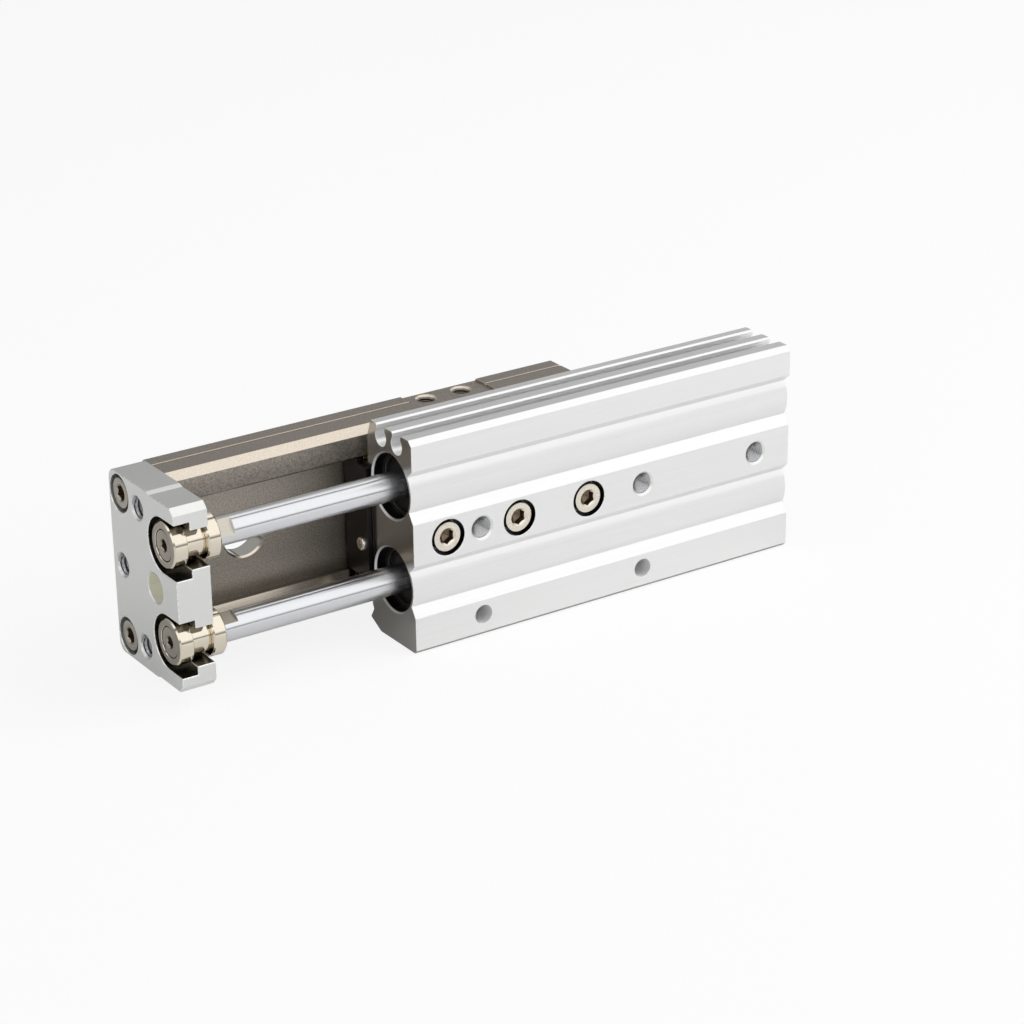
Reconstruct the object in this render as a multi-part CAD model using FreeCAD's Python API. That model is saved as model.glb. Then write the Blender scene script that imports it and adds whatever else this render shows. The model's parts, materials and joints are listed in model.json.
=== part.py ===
import FreeCAD, Part
import math
import os

# Slide table cylinder: two parallel air cylinders in one extruded body push a table that runs
# on a crossed roller guide. X runs along the stroke, Y from the mounting face to the table and
# Z across the two bores. Stations along X are measured from the front face of the body, and
# every piece is moved to the origin, the middle of the mounting screw pair on the mounting
# face, when it is written. The table is drawn fully extended, towards -X. Millimetres.

# Stroke and room between end plate and body when the table is home
stroke = 50.0
retracted_gap = 9.0

# Twin bores and the extrusion around them
bore_diameter = 16.0
bore_pitch = 27.5
pocket_step = 1.2
pocket_depth = 12.5
pocket_chamfer = 0.5
flute_wall = 1.2
flute_setback = 0.8
seat_wall = 0.6
seat_recess = 1.5
port_side_wall = 9.05
slot_floor_wall = 1.05
flute_upper_edge = 7.6
flute_upper_foot = 5.4
flute_lower_edge = 7.7
flute_lower_foot = 4.7
mount_edge_chamfer = 1.5
foot_edge_chamfer = 1.0
guide_edge_drop = 5.0
guide_edge_bevel = 2.0
foot_bevel_rise = 2.8
foot_bevel_run = 5.2
foot_lip = 1.1
foot_lip_notch = 0.6
foot_lip_rise = 2.8
foot_notch_rise = 1.4

# Sensor slots along the top of the body
slot_pitch = 8.0
slot_first = 7.4
slot_lip = 0.93
slot_chamber = 5.4
slot_throat = 3.9
slot_chamfer = 0.5

# Mounting holes: tapped row on the centre line, plain holes along the lower band
mount_first = 22.0
mount_pitch = 54.0
rear_mount_inset = 12.0
mount_thread = 6.0
mount_thread_depth = 10.0
thread_chamfer = 0.6
side_hole = 5.5
side_hole_wall = 1.3

# Air ports on the lower side, with one cross drilling through both bores
port_thread = 5.0
port_depth = 5.5
air_drilling = 2.6

# Crossed roller guide
block_width = 32.8
guide_gap = 1.2
roller_diameter = 4.0
roller_relief = 0.2
roller_clearance = 0.04
roller_count = 8
cage_thickness = 0.7
cage_window_clearance = 0.3
cage_edge_clearance = 0.4
cage_bridge = 0.7
cage_end = 1.4
cage_travel_room = 0.7
stopper_thickness = 1.5
stopper_clearance = 0.4
stopper_seat_gap = 0.3
stopper_screw = 2.0
stopper_screw_head = 3.8
stopper_screw_head_height = 1.2
stopper_screw_length = 6.0
stopper_screw_pitch = 14.0
stopper_screw_height = 3.0

# Socket head screws that hold the guide block and the end plate
screw_thread = 5.0
screw_head = 8.5
screw_head_height = 5.0
screw_hexagon = 4.0
screw_hexagon_depth = 2.5
screw_clearance = 0.5
thread_clearance = 0.1
counterbore_room = 1.0
screw_setback = 0.4
guide_screw_pitch = 23.2
guide_screw_grip = 8.0

# Slide table
table_overrun = 2.0
table_clearance = 3.0
table_floor_clearance = 0.75
table_flange_depth = 8.25
table_base = 6.25
table_flange = 8.5
table_bevel = 2.15
table_edge_chamfer = 0.6
table_line_width = 0.6
table_line_depth = 0.4
table_line_inset = 5.15
stop_pocket_inset = 25.7
stop_pocket_length = 25.0
stop_pocket_depth = 0.7
stop_hole_first = 6.2
stop_hole_pitch = 11.6
stop_hole_inset = 4.1
stop_thread = 5.0
stop_thread_depth = 5.0
stop_hole_chamfer = 0.65
access_hole = 12.4
access_hole_chamfer = 0.5
access_hole_station = 26.0
payload_thread = 5.0
payload_thread_depth = 7.0
payload_first = 20.0
payload_pitch = 45.0
payload_rows = 3
payload_width = 42.0

# End plate
plate_thickness = 10.0
plate_setback = 4.1
plate_overhang = 0.4
plate_corner_radius = 3.0
plate_near_chamfer = 1.85
plate_step = 0.5
plate_step_bevel = 1.6
plate_step_inset = 14.4
plate_hole = 8.4
plate_hole_inset = 12.4
plate_hole_chamfer = 0.3
plate_screw_pitch = 41.2
plate_screw_inset = 5.6
plate_screw_grip = 12.0
front_thread = 6.0
front_thread_depth = 8.0
front_pair_pitch = 39.7
front_pair_inset = 15.7
front_single_inset = 5.2

# Floating rod ends
disc_diameter = 12.8
disc_thickness = 4.0
disc_setback = 0.4
disc_chamfer = 0.4
disc_room = 1.4
neck_diameter = 9.4
neck_room = 0.75
bush_play = 0.3
washer_diameter = 13.0
washer_thickness = 3.9
end_screw_head = 8.5
end_screw_head_height = 3.1
end_screw_hexagon = 3.0
end_screw_hexagon_depth = 2.0
end_screw_grip = 12.0
end_screw_recess = 0.1
end_screw_head_room = 0.15

# Rods and pistons
rod_diameter = 8.0
rod_flat_depth = 0.85
rod_flat_length = 5.0
rod_flat_turn = {"upper": 34.0, "lower": 73.0}
rod_tail_diameter = 5.0
piston_length = 16.0
piston_clearance = 0.2
piston_edge = 0.5
piston_gap = 0.3
groove_clearance = 0.05
seal_clearance = 0.03
piston_groove_depth = 2.3
piston_seal_start = 2.0
piston_seal_width = 3.0
magnet_start = 6.5
magnet_width = 4.0
magnet_depth = 0.4
wear_ring_start = 12.0
wear_ring_width = 2.5

# Rod covers, head caps and what seals and holds them
cover_clearance = 0.05
cover_inset = 4.6
cover_nose_length = 14.5
cap_nose_length = 15.9
cover_dish_rim = 2.5
cover_dish_depth = 1.2
rod_clearance = 0.04
rod_seal_start = 3.5
rod_seal_width = 3.2
rod_seal_depth = 2.0
rod_seal_lip = 0.8
ring_seal_start = 8.5
ring_seal_width = 2.2
ring_seal_depth = 1.45
bumper_room = 1.4
bumper_thickness = 3.0
bumper_clearance = 0.3
snap_ring_thickness = 1.1
snap_ring_groove = 0.5
snap_ring_width = 1.6
snap_ring_gap_angle = 44.0
snap_ring_ear = 1.9
snap_ring_ear_hole = 0.75
puller_thread = 3.2
puller_depth = 6.0

# Room that every cutting tool runs past the metal
cut_past = 1.0

# Places worked out from the sizes above
vec = FreeCAD.Vector
half_pitch = bore_pitch / 2
bore_radius = bore_diameter / 2
pocket_radius = bore_radius + pocket_step
flute_radius = pocket_radius + flute_wall
bore_y = flute_setback + flute_radius
seat_y = bore_y + pocket_radius + seat_wall
body_depth = seat_y + seat_recess
slot_joint = slot_chamber / 2 + math.sqrt(slot_chamber ** 2 - slot_throat ** 2) / 2
slot_depth = slot_joint + slot_lip + slot_chamfer
body_top = half_pitch + pocket_radius + slot_floor_wall + slot_depth
body_bottom = -(half_pitch + pocket_radius + port_side_wall)
bores = {"upper": half_pitch, "lower": -half_pitch}

window_length = roller_diameter + cage_window_clearance
window_height = roller_diameter * math.sqrt(2) + cage_window_clearance
cage_height = table_flange_depth - 2 * cage_edge_clearance
roller_pitch = window_length + cage_bridge
cage_length = roller_count * roller_pitch - cage_bridge + 2 * cage_end
block_length = cage_length + stroke / 2 + 2 * cage_travel_room
block_half = block_width / 2
channel_half = block_half + guide_gap
table_near = body_depth + table_clearance
table_floor = table_near + table_flange_depth
block_top = table_floor - table_floor_clearance
table_far = table_floor + table_base
table_half = channel_half + table_flange
raceway_y = (table_near + table_floor) / 2
raceway_z = block_half + guide_gap / 2
stopper_screw_y = seat_y + stopper_screw_height
raceway_reach = (roller_diameter / 2 + roller_clearance) * math.sqrt(2)
groove_depth = raceway_reach - guide_gap / 2

plate_back = -(stroke + retracted_gap)
plate_front = plate_back - plate_thickness
plate_half = table_half + plate_overhang
table_rear = block_length + stopper_thickness + table_overrun

disc_front = plate_front + disc_setback
disc_back = disc_front + disc_thickness
washer_front = plate_back + bush_play
rod_front = washer_front + washer_thickness
end_screw_seat = disc_front + end_screw_recess + end_screw_head_height

cover_back = pocket_depth + cover_nose_length
front_bumper_end = cover_back + bumper_thickness
piston_front = front_bumper_end + piston_gap
piston_back = piston_front + piston_length
rear_bumper_start = piston_back + stroke + piston_gap
cap_front = rear_bumper_start + bumper_thickness
cap_shoulder = cap_front + cap_nose_length
body_length = cap_shoulder + pocket_depth
cap_back = body_length - cover_inset

front_port = cover_back + bumper_thickness / 2
rear_port = rear_bumper_start + bumper_thickness / 2
counterbore_radius = screw_head / 2 + counterbore_room
counterbore_depth = screw_setback + screw_head_height
guide_screws = [block_length / 2 + step * guide_screw_pitch for step in (-1, 0, 1)]
mount_pair = [mount_first, mount_first + mount_pitch]
mount_row = mount_pair + [body_length - rear_mount_inset]
side_hole_z = -(half_pitch + bore_radius + side_hole_wall + side_hole / 2)
bumper_radius = bore_radius - bumper_room
origin_station = mount_first + mount_pitch / 2


def rod_x(radius, start, end, y, z):
    """Round bar or drilling along X between two stations."""
    return Part.makeCylinder(radius, end - start, vec(start, y, z), vec(1, 0, 0))


def rod_y(radius, start, end, x, z):
    """Round bar or drilling along Y."""
    return Part.makeCylinder(radius, end - start, vec(x, start, z), vec(0, 1, 0))


def rod_z(radius, start, end, x, y):
    """Round bar or drilling along Z."""
    return Part.makeCylinder(radius, end - start, vec(x, y, start), vec(0, 0, 1))


def box(x, y, z):
    """Block between two values on each axis."""
    size = [pair[1] - pair[0] for pair in (x, y, z)]
    return Part.makeBox(size[0], size[1], size[2], vec(x[0], y[0], z[0]))


def turned(points, y, z):
    """Piece turned on an axis along X, from points of station and radius."""
    corners = [vec(x, y + r, z) for x, r in points]
    outline = Part.makePolygon(corners + corners[:1])
    return Part.Face(outline).revolve(vec(0, y, z), vec(1, 0, 0), 360)


def chamfer_mouth(radius, size, mouth, inward):
    """Cone that breaks the edge of a drilled hole. inward points into the metal."""
    run_out = vec(*inward) * -cut_past
    return Part.makeCone(radius + size + cut_past, radius, size + cut_past, vec(*mouth) + run_out, vec(*inward))


def tapped(radius, depth, mouth, inward, chamfer=thread_chamfer):
    """Blind threaded hole: drilling to the thread's outer diameter, with a broken edge."""
    inward_vec = vec(*inward)
    start = vec(*mouth) - inward_vec * cut_past
    drilling = Part.makeCylinder(radius, depth + cut_past, start, inward_vec)
    return drilling.fuse(chamfer_mouth(radius, chamfer, mouth, inward))


def hexagon_socket(across_flats, depth, mouth, inward):
    """Hexagonal prism for a key, standing in from the mouth."""
    radius = across_flats / math.sqrt(3)
    side, up = (vec(0, 1, 0), vec(0, 0, 1)) if inward[0] else (vec(1, 0, 0), vec(0, 0, 1))
    start = vec(*mouth) - vec(*inward) * cut_past
    turns = [math.radians(60 * step) for step in range(7)]
    corners = [start + side * (radius * math.cos(turn)) + up * (radius * math.sin(turn)) for turn in turns]
    return Part.Face(Part.makePolygon(corners)).extrude(vec(*inward) * (depth + cut_past))


def cut_all(solid, tools):
    """Take every tool out of a solid."""
    return solid.cut(Part.makeCompound(tools)).removeSplitter()


def write(name, solids):
    """Move one piece, or a group of like pieces, to the origin and write it."""
    shape = solids if not isinstance(solids, list) else Part.makeCompound(solids)
    shape = shape.copy()
    shape.translate(vec(-origin_station, 0, 0))
    shape.exportStep("parts/" + name + ".step")


class Section:
    """Outline across the stroke, drawn point by point in Y and Z."""

    def __init__(self, y, z):
        self.first = vec(0, y, z)
        self.pen = self.first
        self.edges = []

    def line(self, y, z):
        target = vec(0, y, z)
        self.edges.append(Part.LineSegment(self.pen, target).toShape())
        self.pen = target
        return self

    def arc(self, through, end):
        target = vec(0, *end)
        self.edges.append(Part.Arc(self.pen, vec(0, *through), target).toShape())
        self.pen = target
        return self

    def extrude(self, start, end):
        self.line(self.first.y, self.first.z)
        face = Part.Face(Part.Wire(self.edges))
        face.translate(vec(start, 0, 0))
        return face.extrude(vec(end - start, 0, 0))


def flute(section, z):
    """One hollow of the mounting face, which swells around the bore behind it."""
    upper_y = bore_y - math.sqrt(flute_radius ** 2 - flute_upper_foot ** 2)
    lower_y = bore_y - math.sqrt(flute_radius ** 2 - flute_lower_foot ** 2)
    section.line(0, z + flute_upper_edge)
    section.line(upper_y, z + flute_upper_foot)
    section.arc((flute_setback, z), (lower_y, z - flute_lower_foot))
    section.line(0, z - flute_lower_edge)


def body_extrusion():
    """The drawn profile: fluted mounting face, foot with its lip, and the guide's seat."""
    lip_z = body_bottom + foot_bevel_rise
    notch_z = lip_z + foot_lip_rise
    section = Section(mount_edge_chamfer, body_top).line(0, body_top - mount_edge_chamfer)
    flute(section, bores["upper"])
    flute(section, bores["lower"])
    section.line(0, body_bottom + foot_edge_chamfer).line(foot_edge_chamfer, body_bottom)
    section.line(body_depth + foot_lip - foot_bevel_run, body_bottom)
    section.line(body_depth + foot_lip, lip_z).line(body_depth - foot_lip_notch, notch_z)
    section.line(body_depth, notch_z + foot_notch_rise)
    section.line(body_depth, -block_half).line(seat_y, -block_half)
    section.line(seat_y, block_half).line(body_depth, block_half)
    section.line(body_depth, body_top - guide_edge_drop).line(body_depth - guide_edge_bevel, body_top)
    return section.extrude(0, body_length)


def sensor_slot(y):
    """Round-bottomed slot with a narrower throat and a bevelled mouth."""
    throat = slot_throat / 2
    mouth = throat + slot_chamfer + cut_past
    floor = body_top - slot_depth
    joint = floor + slot_joint
    section = Section(y - mouth, body_top + cut_past).line(y - throat, body_top - slot_chamfer)
    section.line(y - throat, joint).arc((y, floor), (y + throat, joint))
    section.line(y + throat, body_top - slot_chamfer).line(y + mouth, body_top + cut_past)
    return section.extrude(-cut_past, body_length + cut_past)


def snap_ring_stations():
    """Stations of the two snap ring grooves, in front of the rod covers and behind the caps."""
    return [cover_inset - snap_ring_thickness - groove_clearance, cap_back + groove_clearance]


def bore_cuts(z):
    """One bore, stepped out at both ends, with the grooves of its snap rings."""
    cuts = [rod_x(bore_radius, -cut_past, body_length + cut_past, bore_y, z)]
    cuts.append(rod_x(pocket_radius, -cut_past, pocket_depth, bore_y, z))
    cuts.append(rod_x(pocket_radius, cap_shoulder, body_length + cut_past, bore_y, z))
    for x, inward in ((0, 1), (body_length, -1)):
        cuts.append(chamfer_mouth(pocket_radius, pocket_chamfer, (x, bore_y, z), (inward, 0, 0)))
    for station in snap_ring_stations():
        start, end = station - groove_clearance, station + snap_ring_thickness + groove_clearance
        cuts.append(rod_x(pocket_radius + snap_ring_groove, start, end, bore_y, z))
    return cuts


def cylinder_body():
    cuts = [sensor_slot(slot_first), sensor_slot(slot_first + slot_pitch)]
    for z in bores.values():
        cuts += bore_cuts(z)
    for x in mount_row:
        cuts.append(tapped(mount_thread / 2, mount_thread_depth, (x, 0, 0), (0, 1, 0)))
    for x in mount_pair:
        cuts.append(rod_y(side_hole / 2, -cut_past, body_depth + foot_lip + cut_past, x, side_hole_z))
    for x in guide_screws:
        cuts.append(rod_y(counterbore_radius, -cut_past, counterbore_depth, x, 0))
        cuts.append(rod_y((screw_thread + screw_clearance) / 2, -cut_past, body_depth + cut_past, x, 0))
    for x in (front_port, rear_port):
        cuts.append(tapped(port_thread / 2, port_depth, (x, bore_y, body_bottom), (0, 0, 1)))
        cuts.append(rod_z(air_drilling / 2, body_bottom, bores["upper"], x, bore_y))
    return cut_all(body_extrusion(), cuts)


def raceway_corner(section, face_z, inner_z, rising):
    """Vee of a raceway, walked up or down Y along a wall at face_z."""
    step = groove_depth if rising else -groove_depth
    section.line(raceway_y - step, face_z).line(raceway_y, inner_z).line(raceway_y + step, face_z)


def guide_block():
    """Hardened block on the body with a vee raceway along each flank."""
    section = Section(seat_y, -block_half)
    raceway_corner(section, -block_half, -block_half + groove_depth, True)
    section.line(block_top, -block_half).line(block_top, block_half)
    raceway_corner(section, block_half, block_half - groove_depth, False)
    section.line(seat_y, block_half)
    radius = (screw_thread + thread_clearance) / 2
    cuts = [rod_y(radius, seat_y - cut_past, seat_y + guide_screw_grip, x, 0) for x in guide_screws]
    radius = (stopper_screw + thread_clearance) / 2
    for start in (-cut_past, block_length - stopper_screw_length):
        for z in (-stopper_screw_pitch / 2, stopper_screw_pitch / 2):
            cuts.append(rod_x(radius, start, start + stopper_screw_length + cut_past, stopper_screw_y, z))
    return cut_all(section.extrude(0, block_length), cuts)


def roller_stopper(start):
    """Plate across one end of the guide block that keeps the roller cages in."""
    foot, ear = block_half - stopper_seat_gap, channel_half - stopper_clearance
    shoulder = table_near + cage_edge_clearance
    section = Section(seat_y + stopper_seat_gap, -foot).line(shoulder, -foot).line(shoulder, -ear)
    section.line(block_top, -ear).line(block_top, ear).line(shoulder, ear).line(shoulder, foot)
    section.line(seat_y + stopper_seat_gap, foot)
    radius = (stopper_screw + screw_clearance) / 2
    end = start + stopper_thickness
    heights = (-stopper_screw_pitch / 2, stopper_screw_pitch / 2)
    holes = [rod_x(radius, start - cut_past, end + cut_past, stopper_screw_y, z) for z in heights]
    return cut_all(section.extrude(start, end), holes)


def stopper_screws():
    """Low cross-head screws of both stoppers, two at each end."""
    screws = []
    for face, out in ((-stopper_thickness, -1), (block_length + stopper_thickness, 1)):
        for z in (-stopper_screw_pitch / 2, stopper_screw_pitch / 2):
            head = [(face, 0), (face, stopper_screw_head / 2)]
            head += [(face + out * stopper_screw_head_height, stopper_screw / 2)]
            head += [(face + out * stopper_screw_head_height, 0)]
            tip = face - out * stopper_screw_length
            shank = rod_x(stopper_screw / 2, min(face, tip), max(face, tip), stopper_screw_y, z)
            screws.append(turned(head, stopper_screw_y, z).fuse(shank).removeSplitter())
    return screws


def roller_stations():
    """Stations of the rollers in a cage."""
    first = cage_travel_room + cage_end + window_length / 2
    return [first + index * roller_pitch for index in range(roller_count)]


def roller_cage(side):
    """Flat strip between block and table with one window for each roller."""
    z = side * raceway_z
    thickness = (z - cage_thickness / 2, z + cage_thickness / 2)
    length = (cage_travel_room, cage_travel_room + cage_length)
    strip = box(length, (raceway_y - cage_height / 2, raceway_y + cage_height / 2), thickness)
    window = (raceway_y - window_height / 2, raceway_y + window_height / 2)
    half = window_length / 2
    windows = [box((x - half, x + half), window, thickness) for x in roller_stations()]
    return cut_all(strip, windows)


def rollers(side):
    """Rollers of one raceway, leaning to the left and to the right in turn."""
    bars = []
    length = roller_diameter - roller_relief
    for index, x in enumerate(roller_stations()):
        lean = vec(0, 1, 1 if index % 2 else -1).normalize()
        start = vec(x, raceway_y, side * raceway_z) - lean * (length / 2)
        bars.append(Part.makeCylinder(roller_diameter / 2, length, start, lean))
    return bars


def cap_screw(seat, inward, grip, head, head_height, hexagon, hexagon_depth):
    """Socket head screw with its head's underside on the seat."""
    direction = vec(*inward)
    top = vec(*seat) - direction * head_height
    body = Part.makeCylinder(head / 2, head_height, top, direction)
    body = body.fuse(Part.makeCylinder(screw_thread / 2, grip, vec(*seat), direction)).removeSplitter()
    return body.cut(hexagon_socket(hexagon, hexagon_depth, tuple(top), inward))


def guide_block_screws():
    grip = seat_y + guide_screw_grip - counterbore_depth - thread_clearance
    form = (screw_head, screw_head_height, screw_hexagon, screw_hexagon_depth)
    return [cap_screw((x, counterbore_depth, 0), (0, 1, 0), grip, *form) for x in guide_screws]


def table_section():
    """Channel with a raceway in each inner wall and bevelled inner edges."""
    section = Section(table_far, -table_half + table_edge_chamfer)
    section.line(table_far - table_edge_chamfer, -table_half).line(table_near + table_bevel, -table_half)
    section.line(table_near, -table_half + table_bevel).line(table_near, -channel_half)
    raceway_corner(section, -channel_half, -channel_half - groove_depth, True)
    section.line(table_floor, -channel_half).line(table_floor, channel_half)
    raceway_corner(section, channel_half, channel_half + groove_depth, False)
    section.line(table_near, channel_half).line(table_near, table_half - table_bevel)
    section.line(table_near + table_bevel, table_half).line(table_far - table_edge_chamfer, table_half)
    section.line(table_far, table_half - table_edge_chamfer)
    return section.extrude(plate_back, table_rear)


def table_payload_holes():
    """Threaded holes of the load face, in two rows over the flanges."""
    holes = []
    for index in range(payload_rows):
        x = plate_back + payload_first + index * payload_pitch
        for z in (-payload_width / 2, payload_width / 2):
            holes.append(tapped(payload_thread / 2, payload_thread_depth, (x, table_far, z), (0, -1, 0)))
    return holes


def table_stop_pocket():
    """Shallow seat for an end stop on the upper flank, with its two threaded holes."""
    start = table_rear - stop_pocket_inset - stop_pocket_length
    floor = table_half - stop_pocket_depth
    length, depth = (start, start + stop_pocket_length), (table_near - cut_past, table_far + cut_past)
    cuts = [box(length, depth, (floor, table_half + cut_past))]
    for step in range(2):
        mouth = (start + stop_hole_first + step * stop_hole_pitch, table_far - stop_hole_inset, floor)
        cuts.append(tapped(stop_thread / 2, stop_thread_depth, mouth, (0, 0, -1), stop_hole_chamfer))
    return cuts


def table_side_lines():
    """Scribed line along both flanks."""
    far = table_far - table_line_inset
    width = (far - table_line_width, far)
    length = (plate_back - cut_past, table_rear + cut_past)
    upper = box(length, width, (table_half - table_line_depth, table_half + cut_past))
    lower = box(length, width, (-table_half - cut_past, -table_half + table_line_depth))
    return [upper, lower]


def plate_screw_places():
    """Depth and heights of the screws between end plate and table."""
    y = table_far - plate_screw_inset
    return [(y, -plate_screw_pitch / 2), (y, plate_screw_pitch / 2)]


def slide_table():
    cuts = table_payload_holes() + table_stop_pocket() + table_side_lines()
    x = plate_back + access_hole_station
    cuts.append(rod_y(access_hole / 2, table_floor - cut_past, table_far + cut_past, x, 0))
    cuts.append(chamfer_mouth(access_hole / 2, access_hole_chamfer, (x, table_floor, 0), (0, 1, 0)))
    radius = (screw_thread + thread_clearance) / 2
    for y, z in plate_screw_places():
        cuts.append(rod_x(radius, plate_back - cut_past, plate_back + plate_screw_grip, y, z))
    return cut_all(table_section(), cuts)


def plate_blank():
    """Outline of the end plate: rounded far corners, bevelled near edges, a stepped flank."""
    near, far = plate_setback, table_far
    step_y = plate_setback + plate_step_inset
    low = plate_half - plate_step
    turn = plate_corner_radius * (1 - math.sqrt(0.5))
    section = Section(near, -low + plate_near_chamfer)
    section.line(near, low - plate_near_chamfer).line(near + plate_near_chamfer, low)
    section.line(step_y - plate_step_bevel, low).line(step_y, plate_half)
    section.line(far - plate_corner_radius, plate_half)
    section.arc((far - turn, plate_half - turn), (far, plate_half - plate_corner_radius))
    section.line(far, -plate_half + plate_corner_radius)
    section.arc((far - turn, -plate_half + turn), (far - plate_corner_radius, -plate_half))
    section.line(step_y, -plate_half).line(step_y - plate_step_bevel, -low)
    section.line(near + plate_near_chamfer, -low)
    return section.extrude(plate_front, plate_back)


def rod_notch(z):
    """Stepped slot, open to the near edge, that a floating rod end drops into."""
    cuts = []
    step = disc_back + bush_play
    for room, start, end in ((disc_diameter / 2 + disc_room, plate_front - cut_past, step),
                             (neck_diameter / 2 + neck_room, plate_front - cut_past, plate_back + cut_past)):
        cuts.append(rod_x(room, start, end, bore_y, z))
        cuts.append(box((start, end), (plate_setback - cut_past, bore_y), (z - room, z + room)))
    return cuts


def end_plate():
    cuts = []
    for z in bores.values():
        cuts += rod_notch(z)
    ends = (plate_front - cut_past, plate_back + cut_past)
    hole_y = plate_setback + plate_hole_inset
    cuts.append(rod_x(plate_hole / 2, *ends, hole_y, 0))
    cuts.append(chamfer_mouth(plate_hole / 2, plate_hole_chamfer, (plate_front, hole_y, 0), (1, 0, 0)))
    for y, z in plate_screw_places():
        cuts.append(rod_x((screw_thread + screw_clearance) / 2, *ends, y, z))
        cuts.append(rod_x(counterbore_radius, plate_front - cut_past, plate_front + counterbore_depth, y, z))
    pair_y, single_y = table_far - front_pair_inset, table_far - front_single_inset
    for y, z in ((pair_y, front_pair_pitch / 2), (pair_y, -front_pair_pitch / 2), (single_y, 0)):
        cuts.append(tapped(front_thread / 2, front_thread_depth, (plate_front, y, z), (1, 0, 0)))
    return cut_all(plate_blank(), cuts)


def end_plate_screws():
    seat = plate_front + counterbore_depth
    grip = plate_back + plate_screw_grip - seat - thread_clearance
    form = (screw_head, screw_head_height, screw_hexagon, screw_hexagon_depth)
    return [cap_screw((seat, y, z), (1, 0, 0), grip, *form) for y, z in plate_screw_places()]


def floating_bush(z):
    """Flanged bush in the notch of the end plate, with a seat for its screw."""
    disc, neck = disc_diameter / 2, neck_diameter / 2
    head = end_screw_head / 2 + end_screw_head_room
    bore = (screw_thread + screw_clearance) / 2
    points = [(disc_front, head), (disc_front, disc - disc_chamfer), (disc_front + disc_chamfer, disc)]
    points += [(disc_back, disc), (disc_back, neck), (washer_front, neck), (washer_front, bore)]
    points += [(end_screw_seat, bore), (end_screw_seat, head)]
    return turned(points, bore_y, z)


def rod_washer(z):
    """Thick washer between the rod and the back of the end plate."""
    outer, bore = washer_diameter / 2, (screw_thread + screw_clearance) / 2
    points = [(washer_front, bore), (washer_front, outer - disc_chamfer)]
    points += [(washer_front + disc_chamfer, outer), (rod_front - disc_chamfer, outer)]
    points += [(rod_front, outer - disc_chamfer), (rod_front, bore)]
    return turned(points, bore_y, z)


def rod_end_screws():
    form = (end_screw_head, end_screw_head_height, end_screw_hexagon, end_screw_hexagon_depth)
    grip = rod_front + end_screw_grip - end_screw_seat
    return [cap_screw((end_screw_seat, bore_y, z), (1, 0, 0), grip, *form) for z in bores.values()]


def piston_rod(name):
    """Ground rod with a tapped front end, wrench flats and a tail for the piston."""
    z = bores[name]
    radius, tail = rod_diameter / 2, rod_tail_diameter / 2
    points = [(rod_front, 0), (rod_front, radius), (piston_front, radius), (piston_front, tail)]
    points += [(piston_back, tail), (piston_back, 0)]
    hole_end = rod_front + end_screw_grip + cut_past
    cuts = [rod_x((screw_thread + thread_clearance) / 2, rod_front - cut_past, hole_end, bore_y, z)]
    flat = (rod_front - cut_past, rod_front + rod_flat_length)
    for side in (-1, 1):
        edges = sorted((bore_y + side * (radius - rod_flat_depth), bore_y + side * (radius + cut_past)))
        cutter = box(flat, edges, (z - radius - cut_past, z + radius + cut_past))
        cuts.append(cutter.rotate(vec(0, bore_y, z), vec(1, 0, 0), -rod_flat_turn[name]))
    return cut_all(turned(points, bore_y, z), cuts)


def piston_grooves():
    """Start and width of the three grooves of a piston, from its front face."""
    return {
        "seal": (piston_seal_start, piston_seal_width),
        "magnet": (magnet_start, magnet_width),
        "wear_ring": (wear_ring_start, wear_ring_width),
    }


def piston(z):
    outer = bore_radius - piston_clearance
    floor = outer - piston_groove_depth
    bore = (rod_tail_diameter + thread_clearance) / 2
    points = [(piston_front, bore), (piston_front, outer - piston_edge), (piston_front + piston_edge, outer)]
    for start, width in piston_grooves().values():
        near, far = piston_front + start, piston_front + start + width
        points += [(near, outer), (near, floor), (far, floor), (far, outer)]
    points += [(piston_back - piston_edge, outer), (piston_back, outer - piston_edge), (piston_back, bore)]
    return turned(points, bore_y, z)


def piston_ring(z, kind, outer):
    """Seal, magnet or wear ring that fills one groove of the piston."""
    start, width = piston_grooves()[kind]
    near = piston_front + start + groove_clearance
    far = piston_front + start + width - groove_clearance
    inner = bore_radius - piston_clearance - piston_groove_depth + groove_clearance
    return turned([(near, inner), (near, outer), (far, outer), (far, inner)], bore_y, z)


def ring_seal_groove(shoulder, toward):
    """Stations of the o-ring groove in a nose that starts at a shoulder."""
    ends = (shoulder + toward * ring_seal_start, shoulder + toward * (ring_seal_start + ring_seal_width))
    return min(ends), max(ends)


def rod_cover(z):
    """Stepped gland that closes the front of a bore and guides the rod."""
    head, nose = pocket_radius - cover_clearance, bore_radius - cover_clearance
    bore, seal = rod_diameter / 2 + rod_clearance, rod_diameter / 2 + rod_seal_depth
    floor = nose - ring_seal_depth
    near, far = ring_seal_groove(pocket_depth, 1)
    seal_near = pocket_depth + rod_seal_start
    seal_far = seal_near + rod_seal_width
    points = [(cover_inset + cover_dish_depth, bore), (cover_inset, rod_diameter / 2 + cover_dish_rim), (cover_inset, head)]
    points += [(pocket_depth, head), (pocket_depth, nose), (near, nose), (near, floor), (far, floor)]
    points += [(far, nose), (cover_back, nose), (cover_back, bore), (seal_far, bore), (seal_far, seal)]
    points += [(seal_near, seal), (seal_near, bore)]
    return turned(points, bore_y, z)


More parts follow.
